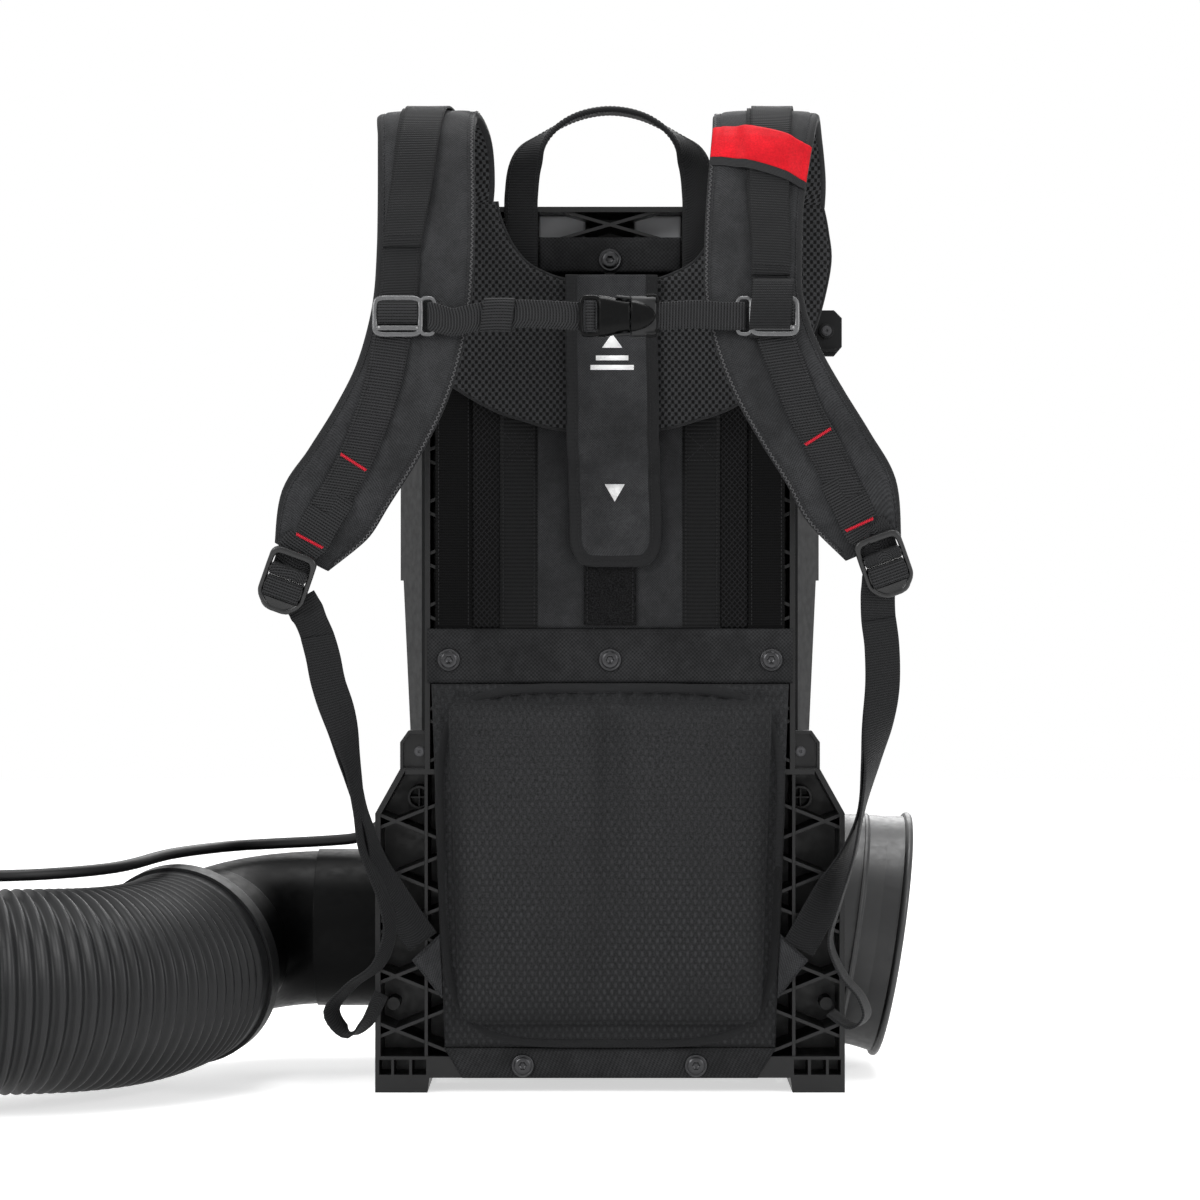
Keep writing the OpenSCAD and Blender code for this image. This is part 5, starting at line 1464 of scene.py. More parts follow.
RIGHT_LOWER = LowerWebbing(Side.RIGHT,
    ((192, -101, 353, 0, -12), (195, -93, 333, 0, -3), (196, -83, 305, 0.1, 0),
     (193, -73, 277, 0.35, 0), (189, -62, 250, 0.62, 0), (183, -46, 213, 0.84, 0),
     (173, -32, 179, 0.62, 10), (159, -18, 145, 0.2, 28), (140, -6, 108, 0, 37)),
    ((184, -58, 214, 0.85, 0), (178, -48, 178, 0.88, 0), (168, -37, 142, 0.86, 0),
     (162, -32, 116, 0.84, 0), (171, -34, 92, 0.8, 0), (184, -38, 76, 0.78, 0),
     (188, -40, 62, 0.76, 0), (178, -38, 54, 0.74, 0), (162, -34, 64, 0.72, 0)))


@dataclass
class SternumStrap:
    """Both halves of the chest strap, from the sliders to the buckle."""

    width: float = 20.0
    thick: float = 1.8
    height: float = 568.0
    front: float = -129.5
    buckle_x: float = 6.0
    seam: float = 7.5

    def left_path(self) -> Array:
        """The long half: slider, a keeper and the buckle's socket."""
        x, y, z = self.buckle_x, self.front, self.height
        return smooth([(-118, -124.6, z), (-126, -124.4, z), (-128.6, -125.4, z), (-127.6, -127.0, z),
                       (-121, -128.2, z - 2.0), (-111, -129.6, z - 4.5), (-97, y - 2, z - 1.5),
                       (-80, y - 2, z + 0.8), (-60, y - 2, z + 1.5), (x - 33, y, z), (x - 27.4, y, z)], 8)

    def right_path(self) -> Array:
        """The short half: the buckle's plug and the slider."""
        x, y, z = self.buckle_x, self.front, self.height
        return smooth([
            (x + 27.9, y, z), (x + 33, y, z), (60, y - 1.5, z + 1), (78, y, z), (88, -129.9, z),
            (93.5, -128.9, z), (94.6, -127.4, z), (92, -126.3, z), (84, -126.4, z)], 8)

    def build(self) -> None:
        """Makes both bands with their box stitches and the keeper."""
        section = band_section(self.width, self.thick)
        for name, path, body, ends in (("left", self.left_path(), Body.STERNUM, (0.04, 0.16)),
                                       ("right", self.right_path(), None, (0.62, 0.78))):
            shell = Shell()
            shell.add_tube(sweep(path, section, UPWARD))
            n, w = axes(path, UPWARD)
            face = np.where((n @ FORWARD)[:, None] > 0, n, -n)
            spans = [int(round(end * (len(path) - 1))) for end in ends]
            keep = slice(spans[0], spans[1] + 1)
            for sign in (-1, 1):
                sew(shell, (path + face + w * sign * self.seam)[keep], face[keep], FINE_SEAM, 1)
            for at in spans:
                across = np.linspace(-self.seam, self.seam, 8)[:, None]
                sew(shell, path[at] + face[at] + w[at] * across, face[at], FINE_SEAM, 1)
            node = f"sternum_strap_{name}"
            piece = tie(
                shell, f"{node}_weave", ("ribbed_webbing", "black_thread"), "webbing", body, node)
            if body is None:
                tuple(place(path[-1]))
                tuple(place(path[4]))
                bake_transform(piece)
        self.build_keeper()

    def build_keeper(self) -> None:
        """A rounded loop of elastic round the left half."""
        path = self.left_path()
        at = int(np.argmin(np.abs(path[:, 0] + 81)))
        a = np.linspace(0, 2 * np.pi, 40)
        half = self.width / 2 + 1.4
        up = half * powered(np.cos(a), 0.35)
        ring = stack(path[at, 0] + 0.14 * up, path[at, 1] + 2.3 * np.sin(a), path[at, 2] + up)
        shell = Shell()
        shell.add_tube(sweep(ring, band_section(22.0, 1.3), ACROSS))
        tie(shell, "sternum_keeper", ("ribbed_webbing",), "webbing", Body.STERNUM)


@dataclass
class CarryHandle:
    """The webbing handle, which turns edge-on over its top, with its box stitches."""

    width: float = 25.0
    thick: float = 4.5
    rows: tuple = (
        (-66, -2.6, 612, 0), (-66, -2.6, 644, 0), (-66, -3.5, 668, 0), (-62, -6, 692, 0.25),
        (-48, -9, 711, 0.7), (-26, -10, 725, 0.95), (0, -10, 730, 1), (26, -10, 725, 0.95),
        (48, -9, 711, 0.7), (62, -6, 692, 0.25), (66, -3.5, 668, 0), (66, -2.6, 644, 0),
        (66, -2.6, 612, 0))

    def build(self) -> None:
        """Sweeps a thick band whose width goes from sideways to front-to-back and back."""
        run = smooth(self.rows, 8)
        path, turn = run[:, :3], run[:, 3:4]
        flip = np.where(path[:, :1] > 0, -1.0, 1.0)
        want = np.hstack([(1 - turn) * flip, -turn, 0 * turn])
        t = headings(path)
        w = unit(want - (want * t).sum(1, keepdims=True) * t)
        n = np.cross(w, t)
        section = band_section(self.width, self.thick, 11)
        section[:, 0] *= 1 - 0.25 * (section[:, 1] / (self.width / 2)) ** 2
        shell = Shell()
        shell.add_tube(carry(path, section, n, w))
        rows = slice(10, -10)
        for sign in (-1, 1):
            for face in (-n, n):
                sew(shell, (path + face * self.thick * 0.46 + w * sign * 9.5)[rows], face[rows],
                    HANDLE_SEAM, 1)
        tie(shell, "carry_handle_weave", ("webbing", "black_thread"), "webbing", Body.BASE,
            "carry_handle")


@dataclass
class YokePad:
    """The mesh-faced pad behind the shoulders, cut as a broad horseshoe."""

    back: float = -7.5
    thick: float = 15.0
    outer: tuple = ((156, 662), (160.5, 640), (162, 612), (149, 563), (127, 534), (90, 510), (62, 500),
                    (38, 494), (0, 492))
    inner: tuple = ((84, 662), (82.5, 653), (78.5, 642), (72, 629), (61, 616), (46, 608), (33, 604),
                    (16, 603), (0, 603))

    def build(self) -> None:
        """Fills the strip between the neck line and the outer edge with a crowned pad.

        Rows run round the horseshoe and columns across it; the half thickness is a rooted
        fourth power of the distance from the middle of the strip.
        """
        edges = []
        for half in (self.outer, self.inner):
            right = np.array(half, float)
            whole = np.vstack([right * [-1, 1], right[::-1][1:]])
            edges.append(evenly(smooth(whole.tolist(), 8), 1.0))
        count = 150
        outer, inner = (e[np.linspace(0, len(e) - 1, count).astype(int)] for e in edges)
        s = eased(41)
        share = (s * 0.5 + 0.5)[None, :, None]
        x, z = np.moveaxis(outer[:, None] * (1 - share) + inner[:, None] * share, -1, 0)
        end = np.arange(count) / (count - 1)
        near = clamp(np.minimum(end, 1 - end) / 0.05)[:, None]
        crown = np.sqrt(clamp(1 - np.abs(s[None]) ** 5)) * np.sqrt(1 - (1 - near) ** 2 * 0.9)
        half = 1.6 + (self.thick / 2 - 1.6) * crown
        half = half + 0.35 * ripples(x, z, 41, 18) * crown
        middle = self.back - self.thick / 2
        shell = Shell()
        shell.add_slab(stack(x, middle - half, z), stack(x, middle + half, z))
        for edge in (outer, inner):
            ring = stack(edge[:, 0], middle, edge[:, 1])
            shell.add_tube(sweep(ring, band_section(5.6, 3.0, 5), FORWARD), 1)
        piece = tie(
            shell, "yoke_cushion", ("air_mesh", "binding"), "air_mesh", Body.HARNESS, "yoke_pad")


@dataclass
class AdjustFlap:
    """The flap that sets the back length: bound cloth with two arrows and plain bars."""

    width: float = 67.0
    thick: float = 3.6
    front: float = -24.5
    low: float = -5.7
    binding: float = 9.0

    def path(self) -> Array:
        """The flap's middle line, over the yoke and down onto the hook strip."""
        return smooth([(1, self.front, 607), (1, self.front, 560), (2, self.front, 512),
                       (2, self.front, 484), (3, self.front + 6, 472), (3, self.low - 2, 461),
                       (3, self.low, 450), (4, self.low, 430), (4, self.low, 392)], 10)

    def build(self) -> None:
        """Sweeps the cloth, its binding, its stitches and its printed marks."""
        path = evenly(self.path(), 1.5)
        run = lengths(path)
        left = clamp((run[-1] - run) / 24.0)
        width = self.width * (0.62 + 0.38 * np.sqrt(1 - (1 - left) ** 2))
        n, w = axes(path, ACROSS)
        out = np.where((n @ FORWARD)[:, None] > 0, n, -n)
        s = eased(31)
        v = s[None] * width[:, None] / 2
        dent = 0.25 * ripples(run[:, None], v, 51, 16)
        up = (self.thick / 2 * np.sqrt(1 - 0.5 * s**6))[None] + dent * 0.5
        shell = Shell()
        shell.add_slab(carry(path, stack(up, v), out, w), carry(path, stack(-up, v), out, w))
        a = np.linspace(0, np.pi / 2, 18)
        reach = self.width / 2 - self.binding / 2 + 0.6
        side = reach - 12.7 * (1 - np.cos(a)), 3.9 + 18.0 * (1 - np.sin(a))
        high = np.arange(run[-1], 24.0, -2.0)
        x = np.concatenate([np.full(len(high), reach), side[0]])
        up_run = np.concatenate([high, side[1]])
        rim_x, rim_up = np.concatenate([-x, x[::-1]]), np.concatenate([up_run, up_run[::-1]])
        row = np.interp(run[-1] - rim_up, run, np.arange(len(run)))
        mid, lift, wide = (sample(q, row) for q in (path, out, w))
        bound = bar_section(self.binding, self.thick + 1.1, 5.0, 20)
        shell.add_tube(sweep(mid + wide * rim_x[:, None], bound, lift), 1)
        inner = mid + wide * (rim_x * 0.93)[:, None] + lift * (self.thick / 2 + 0.5)
        sew(shell, inner[2:-2], lift[2:-2], EDGE_SEAM, 2)
        piece = tie(shell, "adjust_flap_cloth", ("flap_fabric", "binding", "black_thread"),
                    "flap_fabric", Body.HARNESS, "adjust_flap")
        self.print_marks()

    def print_marks(self) -> None:
        """Two arrowheads and four plain bars, proud of the cloth by a hair."""
        shell = Shell()
        y = self.front - self.thick / 2 - 0.5

        def mark(outline: list) -> None:
            """A thin plate with this outline."""
            flat = np.array(outline, float)
            count = len(flat)
            front = stack(flat[:, 0], y - 0.3, flat[:, 1])
            rear = front + [0, 0.5, 0]
            i = np.arange(count)
            k = (i + 1) % count
            area = ((flat[:, 0] * flat[k, 1] - flat[k, 0] * flat[:, 1])).sum()
            sides = stack(i, i + count, k + count, k)
            caps = (i, i[::-1] + count)
            if area < 0:
                sides, caps = sides[:, ::-1], (i[::-1], i + count)
            shell.add(np.vstack([front, rear]), sides, np.zeros((1, 2)), 0, caps)
        mark([(-6, 553), (9, 553), (1.5, 563.5)])
        for z, half in ((545.5, 12), (538.5, 16)):
            mark([(1.5 - half, z - 1.8), (1.5 + half, z - 1.8), (1.5 + half, z + 1.8),
                  (1.5 - half, z + 1.8)])
        tie(shell, "flap_marks_upper", ("white_print",), "flap_fabric", Body.HARNESS)
        shell = Shell()
        y = self.low - self.thick / 2 - 0.6
        mark([(-4, 453), (11, 453), (3.5, 440)])
        tie(shell, "flap_marks_lower", ("white_print",), "flap_fabric", Body.HARNESS)


@dataclass
class LumbarPad:
    """The waist cushion: two soft lobes on a flat bound base."""

    thick: float = 22.0
    base: float = 6.0
    low: float = 34.5
    high: float = 304.5
    low_half: float = 123.0
    high_half: float = 133.0
    channel_high: float = 11.5
    channel_low: float = 5.0
    channel_wide: float = 15.0
    lobe_out: float = 112.0
    lobe_low: float = 52.0
    lobe_high: float = 292.0

    def height(self, x: Array, z: Array) -> Array:
        """How far the front stands forward: a flat rim, two puffed lobes and dimples.

        The cushion rises as a rooted distance from its edge, so that it is soft at the rim and
        full in the middle. A valley, a bell curve of x that is deeper and narrower towards the
        top, parts it into two lobes; small pits run along the top seam.
        """
        lean = (self.high_half - self.low_half) / (self.high - self.low)
        out = self.lobe_out + (z - self.lobe_low) * lean - np.abs(x)
        up, down = self.lobe_high - z, z - self.lobe_low
        soft = 15.0
        edge = np.stack([out * 1.1, up * 1.5, down])
        near = -soft * 0.35 * np.log(np.exp(-np.clip(edge, -40, 60) / (soft * 0.35)).sum(0))
        rise = clamp(near / 30.0)
        puff = np.sqrt(clamp(1 - (1 - rise) ** 2.3))
        deep = self.channel_low + (self.channel_high - self.channel_low) * clamp(down / 200)
        wide = self.channel_wide * (1.25 - 0.45 * clamp(down / 200))
        valley = deep * np.exp(-np.abs(x / wide) ** 1.6) * puff
        rim = nearest(self.high - z, z - self.low, self.low_half + (z - self.low) * lean - np.abs(x))
        flat = self.base * (0.45 + 0.55 * clamp(rim / 5) ** 0.5)
        seam = 0.6 * np.exp(-(((rim - 8.6) / 1.6) ** 2))
        pit = 2.0 * np.exp(-((up + 3.0) / 5.0) ** 2) * (0.5 + 0.5 * np.cos(2 * np.pi * x / 14.0))
        sag = 0.5 * ripples(x, z, 61, 26)
        return flat + (self.thick - self.base) * puff - valley + sag * (0.3 + puff) - seam - pit

    def ring(self, inset: float, lift: float) -> Array:
        """A closed line around the rim, some way inside it and in front of its back."""
        half, tall = (self.low_half + self.high_half) / 2, (self.high - self.low) / 2
        path = round_loop(half - inset, tall - inset, 5.0, 300)
        path[:, 0] *= 1 + path[:, 2] / tall * (self.high_half - self.low_half) / (2 * half)
        return path + [0, -lift, self.low + tall]

    def build(self) -> None:
        """Lays the height over a sheared grid and closes it with a flat back."""
        u = np.sin(np.linspace(-np.pi / 2, np.pi / 2, 150) * 0.96) / np.sin(np.pi / 2 * 0.96)
        v = np.linspace(0, 1, 150)[:, None]
        z = self.low + (self.high - self.low) * v
        half = self.low_half + (self.high_half - self.low_half) * v
        x, z = np.broadcast_arrays(u[None] * half, z)
        front = stack(x, -self.height(x, z), z)
        shell = Shell()
        shell.add_slab(front, stack(x, -0.2, z))
        bound = bar_section(8.0, self.base + 0.6, 3.0)
        shell.add_tube(loop_grid(self.ring(3.4, 0.5 * self.base), bound), 1, loop=True)
        sew(shell, self.ring(6.4, self.base + 0.5), FORWARD, EDGE_SEAM, 2)
        piece = tie(shell, "lumbar_cushion", ("knit_pad", "binding", "black_thread"),
                    "knit_pad", Body.BASE, "lumbar_pad")


@dataclass
class BackPanel:
    """The cloth panel behind the flap: centre cloth, nets, upright webbings and hook strip."""

    low: float = 346.0
    high: float = 604.0

    def strip(self, shell: Shell, x: Pair, z: Pair, front: float,
              back: float, mark: int, seed: int = 0) -> None:
        """A flat strip of cloth between two sides, two heights and two depths."""
        x = sorted(x)
        cols, rows = max(int((x[1] - x[0]) / 3), 6), max(int((z[1] - z[0]) / 4), 8)
        gx, gz = np.meshgrid(np.linspace(*x, cols), np.linspace(*z, rows))
        wave = 0.18 * ripples(gx, gz, seed + 71, 16)
        rim = nearest(gx - x[0], x[1] - gx, gz - z[0], z[1] - gz)
        drop = 0.35 * (1 - clamp(rim / 1.5))
        y = front + drop + wave * clamp(rim / 6)
        shell.add_slab(stack(gx, y, gz), stack(gx, back, gz), mark)

    def build(self) -> None:
        """Lays the strips from the sides to the middle and sews them."""
        shell = Shell()
        self.strip(shell, (-60, 60), (self.low, self.high), -1.2, -0.2, 0, 1)
        for sign in (-1, 1):
            self.strip(shell, (sign * 80, sign * 104), (self.low, 560), -0.9, -0.2, 1, 2)
            self.strip(shell, (sign * 54, sign * 82), (self.low, 540), -2.0, -0.6, 2, 3)
            self.strip(shell, (sign * 103, sign * 130), (self.low, 548), -2.0, -0.3, 4, 4)
            for x in (56.5, 79.5, 105.5, 127.5):
                sew(shell, line((sign * x, -2.15, self.low + 2), (sign * x, -2.15, 530), 40), FORWARD,
                    PANEL_SEAM, 3)
            for a, b in ((471, 471), (491, 491), (471, 491), (491, 471)):
                sew(shell, line((sign * 57, -2.2, a), (sign * 79, -2.2, b)), FORWARD, FINE_SEAM, 3)
        piece = tie(
            shell, "back_panel_cloth",
            ("panel_cloth", "open_mesh", "panel_webbing", "black_thread", "outer_webbing"), "open_mesh",
            Body.BASE, "back_mesh_panel")
        hook = Shell()
        self.strip(hook, (-19.5, 19.5), (348, 469), -3.5, -2.2, 0, 5)
        for x in (-17, 17):
            sew(hook, line((x, -3.6, 350), (x, -3.6, 467), 30), FORWARD, PANEL_SEAM, 1)
        tie(hook, "hook_strip_pile", ("hook_fabric", "black_thread"), "hook_fabric", Body.BASE,
            "hook_strip")


BANDS = {
    "top_band": (((-53, 611), (53, 611), (53, 637), (-53, 637)), ((0, 620),),
                 (((-39, 616), (-13, 616)), ((17, 616), (45, 616)))),
    "middle_band": (((-136, 305), (136, 305), (136, 345.7), (-136, 345.7)),
                    ((-120, 322.5), (0, 322.5), (120, 322.5)),
                    (((-132, 342.7), (-104, 342.7)), ((-37, 342.7), (-6, 342.7)),
                     ((11, 342.7), (43, 342.7)), ((107, 342.7), (134, 342.7)),
                     ((-130, 307.5), (130, 307.5)), ((-82.5, 308), (-82.5, 342)),
                     ((93, 308), (93, 342)))),
    "bottom_band": (((-110, 11), (110, 11), (124, 34), (-124, 34)), ((-65, 20.5), (64, 20.5)),
                    (((-118, 31.5), (118, 31.5)),)),}


@dataclass
class HarnessBands:
    """The three bands that hold the panel and the pads to the frame, under their screws."""

    thick: float = 2.5

    def band(self, shell: Shell, corners: tuple, screws: tuple) -> None:
        """A band between four corners, pressed in round its screws and thin at its rim.

        Args:
            shell: the piece that takes it.
            corners: low left, low right, high right and high left, as x and z.
            screws: x and z of each screw.
        """
        c = np.array(corners, float)
        wide, tall = c[1, 0] - c[0, 0], c[2, 1] - c[1, 1]
        u, v = np.linspace(0, 1, 120)[None], np.linspace(0, 1, 24)[:, None]
        x, z = ((p * (1 - u) + q * u) * (1 - v) + (s * (1 - u) + r * u) * v for p, q, r, s in c.T)
        rim = nearest(u * wide, (1 - u) * wide, v * tall, (1 - v) * tall)
        away = np.stack([np.hypot(x - s[0], z - s[1]) for s in screws]).min(0)
        puff = 0.5 * clamp((away - 8) / 14) + 0.15 * ripples(x, z, 81, 14)
        y = -self.thick + 0.1 + 0.9 * (1 - clamp(rim / 1.6) ** 0.5) - puff * clamp(rim / 4)
        shell.add_slab(stack(x, y, z), stack(x, -0.05, z))

    def build(self) -> None:
        """Makes the three bands with their stitch lines."""
        for name, (corners, screws, seams) in BANDS.items():
            shell = Shell()
            self.band(shell, corners, screws)
            y = -self.thick - 0.25
            for a, b in seams:
                sew(shell, line((a[0], y, a[1]), (b[0], y, b[1]), 30), FORWARD, BAND_SEAM, 1)
            tie(shell, f"{name}_cloth", ("band_fabric", "black_thread"), "webbing", Body.BASE, name)


@dataclass
class AnchorTabs:
    """Cloth triangles at the foot of the lumbar pad that hold the lower webbing."""

    corners: tuple = ((124.6, 70), (147.5, 99), (126.2, 119))

    def build(self) -> None:
        """A folded triangle on each side with a stitched rim."""
        shell = Shell()
        for sign in (-1, 1):
            p = np.array(self.corners) * [sign, 1]
            u, v = np.linspace(0, 1, 12)[:, None], np.linspace(0.02, 1, 12)[None]
            x, z = (a * (1 - v) + (b * (1 - u) + c * u) * v for a, b, c in p.T)
            front = stack(x, -4.0 + 0.3 * ripples(x, z, 91, 10), z)
            shell.add_slab(front, front + [0, 2.8, 0])
            for a, b in ((0, 1), (1, 2)):
                q = p + (p.mean(0) - p) * 0.12
                sew(shell, line((q[a, 0], -4.4, q[a, 1]), (q[b, 0], -4.4, q[b, 1])), FORWARD,
                    BAND_SEAM, 1)
        tie(shell, "anchor_tabs_cloth", ("flap_fabric", "black_thread"), "webbing", Body.BASE,
            "anchor_tabs")


# ---- fittings
@dataclass
class LadderLock:
    """The two adjusters: a rounded frame, a bar, a wide bar and a tongue."""

    half_wide: float = 15.6
    half_high: float = 21.0
    rail: float = 3.7
    top_rail: float = 5.2
    deep: float = 6.0

    def frame(self, lock: Lock) -> Array:
        """The outer frame: a rounded loop that narrows towards the tongue."""
        path = round_loop(self.half_wide, self.half_high, 7.0, 96)
        low = clamp((-path[:, 2] - 9.0) / 12.0)
        path[:, 0] *= 1 - 0.5 * low**1.8
        path[:, 1] -= 0.8 * low
        wide = self.rail + (self.top_rail - self.rail) * clamp((path[:, 2] - 14) / 5)
        return lock.to_drawing(loop_grid(path, bar_section(wide, np.full(96, self.deep), 3.2, 20)))

    def bar(self, lock: Lock, z: float, wide: float, deep: float) -> Array:
        """A rounded bar across the frame at this height."""
        path = line((-self.half_wide, 0.0, z), (self.half_wide, 0.0, z), 9)
        return lock.to_drawing(sweep(path, bar_section(deep, wide, 2.8), UPWARD))

    def tongue(self, lock: Lock) -> tuple[Array, Array]:
        """The rounded plate at the foot, crowned across and curled forwards at its tip."""
        u = np.linspace(-1, 1, 25)[None]
        v = np.linspace(0, 1, 14)[:, None]
        z = -13.5 - 8.6 * v
        half = 13.6 * np.sqrt(clamp(1 - (v * 0.86) ** 2.6))
        front = -1.6 - 1.1 * (1 - u**2) - 0.8 * v**2
        x = u * half
        return lock.to_drawing(stack(x, front, z)), lock.to_drawing(stack(x, 1.6, z))

    def build(self) -> None:
        """Makes both locks as one piece."""
        shell = Shell()
        for lock in LOCKS.values():
            shell.add_tube(self.frame(lock), loop=True)
            shell.add_tube(self.bar(lock, 7.0, 4.0, 5.0))
            shell.add_tube(self.bar(lock, -5.6, 10.4, 4.6))
            shell.add_tube(self.bar(lock, -14.0, 2.6, 4.2))
            shell.add_slab(*self.tongue(lock))
        tie(shell, "ladder_locks_moulded", ("lock_plastic",), "buckle_plastic", Body.HARNESS,
            "ladder_locks")


@dataclass
class StrapSlider:
    """The two sliders of the chest strap: a frame, a bright bar and a loop for the strap."""

    left: Lock = Lock((-151, -123.8, 568), 0, -7.4)
    right: Lock = Lock((116, -125.3, 568), 0, -9.9)
    half_wide: float = 16.2
    half_high: float = 13.2
    rail: float = 3.6
    deep: float = 3.0
    loop_half: float = 5.6

    def cover(self, shell: Shell) -> None:
        """The webbing that hides most of the right slider: over its frame and out past its foot."""
        u, v = np.linspace(-1, 1, 15)[None], np.linspace(0, 1, 30)[:, None]
        z = 27.0 - 42.5 * v
        x = u * 14.6 - 2.6 + 0.09 * z
        front = -2.4 - 3.6 * np.sin(np.pi * clamp(v * 1.12)) ** 0.6
        shell.add_slab(self.right.to_drawing(stack(x, front, z)),
                       self.right.to_drawing(stack(x, front + 1.8, z)), 2)

    def parts(self, shell: Shell, at: Lock, inward: int) -> None:
        """Adds one slider, its strap loop on the inward side.

        Args:
            shell: the piece that takes it.
            at: its place and lean.
            inward: sign of x towards the buckle.
        """
        middle = np.array([0.0, -self.deep / 2, 0.0])
        path = round_loop(self.half_wide, self.half_high, 6.5, 80) + middle
        shell.add_tube(at.to_drawing(loop_grid(path, bar_section(self.rail, self.deep, 2.8))), loop=True)
        path = round_loop(self.loop_half, self.half_high, 3.4, 56) + middle
        path[:, 0] += inward * (self.half_wide + self.loop_half - 0.6)
        shell.add_tube(at.to_drawing(loop_grid(path, bar_section(2.8, 2.6, 2.6))), loop=True)
        bar = line((-15.0, -2.1, -8.6), (15.0, -2.1, -8.6), 9)
        shell.add_tube(at.to_drawing(sweep(bar, bar_section(2.6, 3.6, 3.0), UPWARD)))
        u, v = np.linspace(-1, 1, 21)[None], np.linspace(-1, 1, 17)[:, None]
        x, z = u * 14.2, 3.0 + v * 8.8
        swell = -1.2 - 2.6 * np.sqrt(clamp(1 - v**2))
        shell.add_slab(at.to_drawing(stack(x, swell, z)), at.to_drawing(stack(x, -0.4, z)), 1)

    def build(self) -> None:
        """Makes both sliders, with the webbing that swells through them."""
        shell = Shell()
        self.parts(shell, self.left, 1)
        self.parts(shell, self.right, -1)
        self.cover(shell)
        tie(shell, "strap_sliders_moulded", ("slider_plastic", "ribbed_webbing", "webbing"),
            "slider_plastic", Body.STERNUM, "strap_sliders")


@dataclass
class ChestBuckle:
    """Both halves of the side-release buckle, smooth where they meet."""

    middle: Point = (6.0, -129.5, 568.0)

    def shell_half(self, x: Pair, taper: Pair, front: float, back: float,
                   round_end: float) -> tuple[Array, Array]:
        """A crowned body between two x, whose half height follows a smooth taper.

        The half height runs from the first taper value to the second along a squared sine,
        less a rooted quarter circle over the last round_end millimetres.

        Returns:
            Its front and its back grid.
        """
        u = np.linspace(0, 1, 40)[:, None]
        v = eased(29)[None]
        along = x[0] + (x[1] - x[0]) * u
        half = taper[0] + (taper[1] - taper[0]) * np.sin(u * np.pi / 2) ** 2
        left = clamp((x[1] - along) / max(round_end, 1e-6))
        half = half * np.sqrt(np.clip(1 - (1 - left) ** 2, 0.02, 1)) if round_end > 0 else half
        ends = clamp(np.minimum(u, 1 - u) / 0.04) ** 0.5
        crown = np.sqrt(clamp(1 - np.abs(v) ** 5)) * (0.75 + 0.25 * ends)
        y = back + (front - back) * (0.35 + 0.65 * crown) - 0.7 * (1 - v**2)
        return stack(along, y, half * v) + self.middle, stack(along, back, half * v) + self.middle

    def build_socket(self) -> None:
        """The half with the adjusting bar: frame, bar, body and dark release windows."""
        shell = Shell()
        path = round_loop(6.6, 13.2, 5.0, 64) + [-20.4, 0.4, 0] + self.middle
        shell.add_tube(loop_grid(path, bar_section(3.4, 7.5, 3.4)), loop=True)
        shell.add_slab(*self.shell_half((-14.5, 8.0), (14.8, 11.4), -4.6, 5.6, 0.0))
        for sign in (-1, 1):
            spine = line((-2.0, 0.2, sign * 13.6), (8.0, 0.2, sign * 12.6), 12) + self.middle
            shell.add_tube(sweep(spine, bar_section(6.4, 2.4, 2.4), UPWARD), 1)
            button = line((1.0, 0.2, sign * 12.4), (7.6, 0.2, sign * 12.4), 14)
            swell = np.sin(np.linspace(0.25, np.pi - 0.25, 14))
            shell.add_tube(
                sweep(button + self.middle, bar_section(5.0 * swell, 3.6 * swell, 2.3), UPWARD), 1)
        u, v = np.linspace(-1, 1, 17)[None], np.linspace(-1, 1, 21)[:, None]
        x, z = -20.2 + u * 3.6, v * 10.0
        swell = -1.2 - 3.0 * np.sqrt(clamp(1 - u**2))
        shell.add_slab(stack(x, swell, z) + self.middle, stack(x, 1.0, z) + self.middle, 2)
        tie(shell, "buckle_socket_moulded", ("buckle_plastic", "collar_plastic", "ribbed_webbing"),
            "buckle_plastic", Body.STERNUM, "buckle_socket")

    def build_plug(self) -> None:
        """The half with the sewn strap: prongs, a base, a smooth nose and two hooked corners."""
        shell = Shell()
        shell.add_slab(*self.shell_half((8.2, 26.5), (14.4, 14.0), -1.6, 4.8, 0.0), 1)
        shell.add_slab(*self.shell_half((8.2, 25.8), (11.2, 7.6), -4.6, 2.0, 9.0))
        for sign in (-1, 1):
            prong = line((-8.0, 0.2, sign * 8.4), (9.0, 0.2, sign * 8.4), 8) + self.middle
            shell.add_tube(sweep(prong, bar_section(4.4, 4.0, 3.0), UPWARD), 1)
            hook = smooth([(19.5, -2.4, sign * 14.2), (24.0, -3.6, sign * 14.4),
                           (27.0, -3.2, sign * 13.2), (27.6, -1.4, sign * 9.6)], 6)
            shell.add_tube(sweep(hook + self.middle, bar_section(2.2, 2.2, 2.2, 12), FORWARD))
        tongue = line((-9.5, 0.2, 0.0), (9.0, 0.2, 0.0), 8) + self.middle
        shell.add_tube(sweep(tongue, bar_section(4.2, 3.6, 3.0), UPWARD), 1)
        tie(shell, "buckle_plug_moulded", ("buckle_plastic", "collar_plastic"), "buckle_plastic",
            Body.BUCKLE, "buckle_plug")

    def build(self) -> None:
        """Makes both halves."""
        self.build_socket()
        self.build_plug()


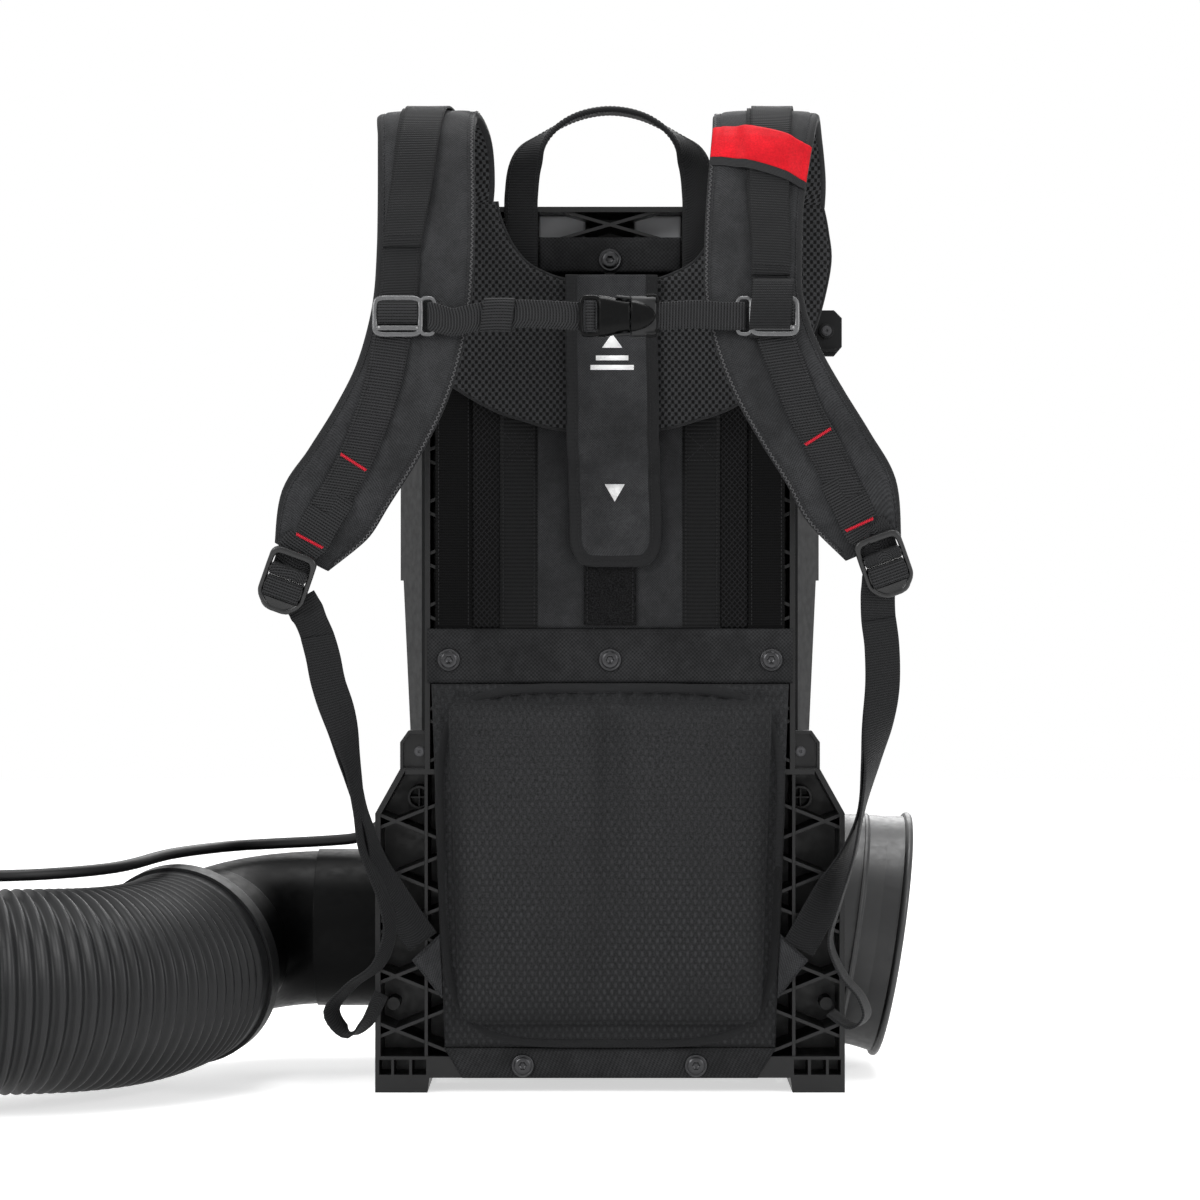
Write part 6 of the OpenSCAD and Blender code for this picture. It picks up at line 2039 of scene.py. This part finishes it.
@dataclass
class HarnessScrews:
    """The six button-head screws of the bands: a ring, a dome and a six-lobed socket."""

    radius: float = 8.5
    height: float = 3.0
    back: float = -2.5
    profile: tuple = (
        (0.01, 0.45), (0.31, 0.45), (0.33, 0.97), (0.36, 1.0), (0.55, 0.96), (0.7, 0.82), (0.76, 0.5),
        (0.8, 0.42), (0.84, 0.5), (0.9, 0.6), (0.96, 0.5), (1.0, 0.25), (1.0, 0.0), (0.01, 0.0))

    def build(self) -> None:
        """Turns the profile, given as shares of the radius and the height, at each place."""
        a = np.linspace(0, 2 * np.pi, 60, endpoint=False)[None]
        share, up = np.array(self.profile).T[:, :, None]
        lobes = clamp((0.4 - share) / 0.05) * clamp(up * 4) * 0.1 * np.cos(6 * a)
        r = self.radius * share * (1 + lobes)
        shell = Shell()
        for x, z in (place_at for _, screws, _ in BANDS.values() for place_at in screws):
            shell.add_tube(stack(x + r * np.cos(a), self.back - self.height * up, z - r * np.sin(a)))
        tie(shell, "harness_screws_turned", ("dark_screw",), "steel", Body.BASE, "harness_screws")


@dataclass
class BarInserts:
    """Two grey stiffening panels inside the top bar, their tone raised well above their own grey as
    painted light against the bar's shade.
    """

    front: float = 23.2
    back: float = 24.2
    side: float = 18.6
    low: float = 636.8
    wide: float = 34.8
    tall: float = 18.6

    def build(self) -> None:
        """Lays a thin plate with a shallow ridge over each."""
        shell = Shell()
        for sign in (-1, 1):
            u, v = np.linspace(0, 1, 30)[None], np.linspace(0, 1, 16)[:, None]
            x, z = sign * (self.side + self.wide * u), self.low + self.tall * v
            rim = np.minimum(nearest(u, 1 - u) * self.wide, nearest(v, 1 - v) * self.tall)
            y = self.front + 0.5 * (1 - clamp(rim / 1.4) ** 0.5)
            shell.add_slab(stack(x, y, z), stack(x, self.back, z))
        tie(shell, "top_bar_inserts", ("frame_insert_painted_light",), "frame_plastic", Body.BASE)


# ---- carried-over nodes
def dress_nodes(frame: dict) -> None:
    """Gives every node that stays its own finish."""
    for finish, nodes in NODES_OF_FINISH.items():
        for piece in (frame["nodes"][node] for node in nodes):
            if not piece.material_slots:
                piece.data.materials.append(coat(finish))
            for slot in piece.material_slots:
                slot.material = coat(finish)
        log.info("%s: %s", finish, ", ".join(nodes))


def main() -> None:
    """Builds the studio, the air path and the harness, and dresses the rest."""
    logging.basicConfig(level=logging.INFO, format="%(name)s: %(message)s")
    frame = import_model()
    wand = Wand()
    Studio().build()
    ControlCable(wand).build()
    BellowsHose(wand).build()
    dress_nodes(frame)
    pads = [ShoulderPad(Side.LEFT, LEFT_PAD_ROWS),
            ShoulderPad(Side.RIGHT, RIGHT_PAD_ROWS, tack_rows=(10.5, 12.4), hem_row=6.6)]
    for assembly in (*pads, RedPatch(pads[1]), LEFT_LOWER, RIGHT_LOWER, SternumStrap(), CarryHandle(),
                     YokePad(), AdjustFlap(), LumbarPad(), BackPanel(), HarnessBands(), AnchorTabs(),
                     LadderLock(), StrapSlider(), ChestBuckle(), HarnessScrews(), BarInserts()):
        assembly.build()
        log.info("%s done", type(assembly).__name__)


if __name__ == "__main__":
    main()
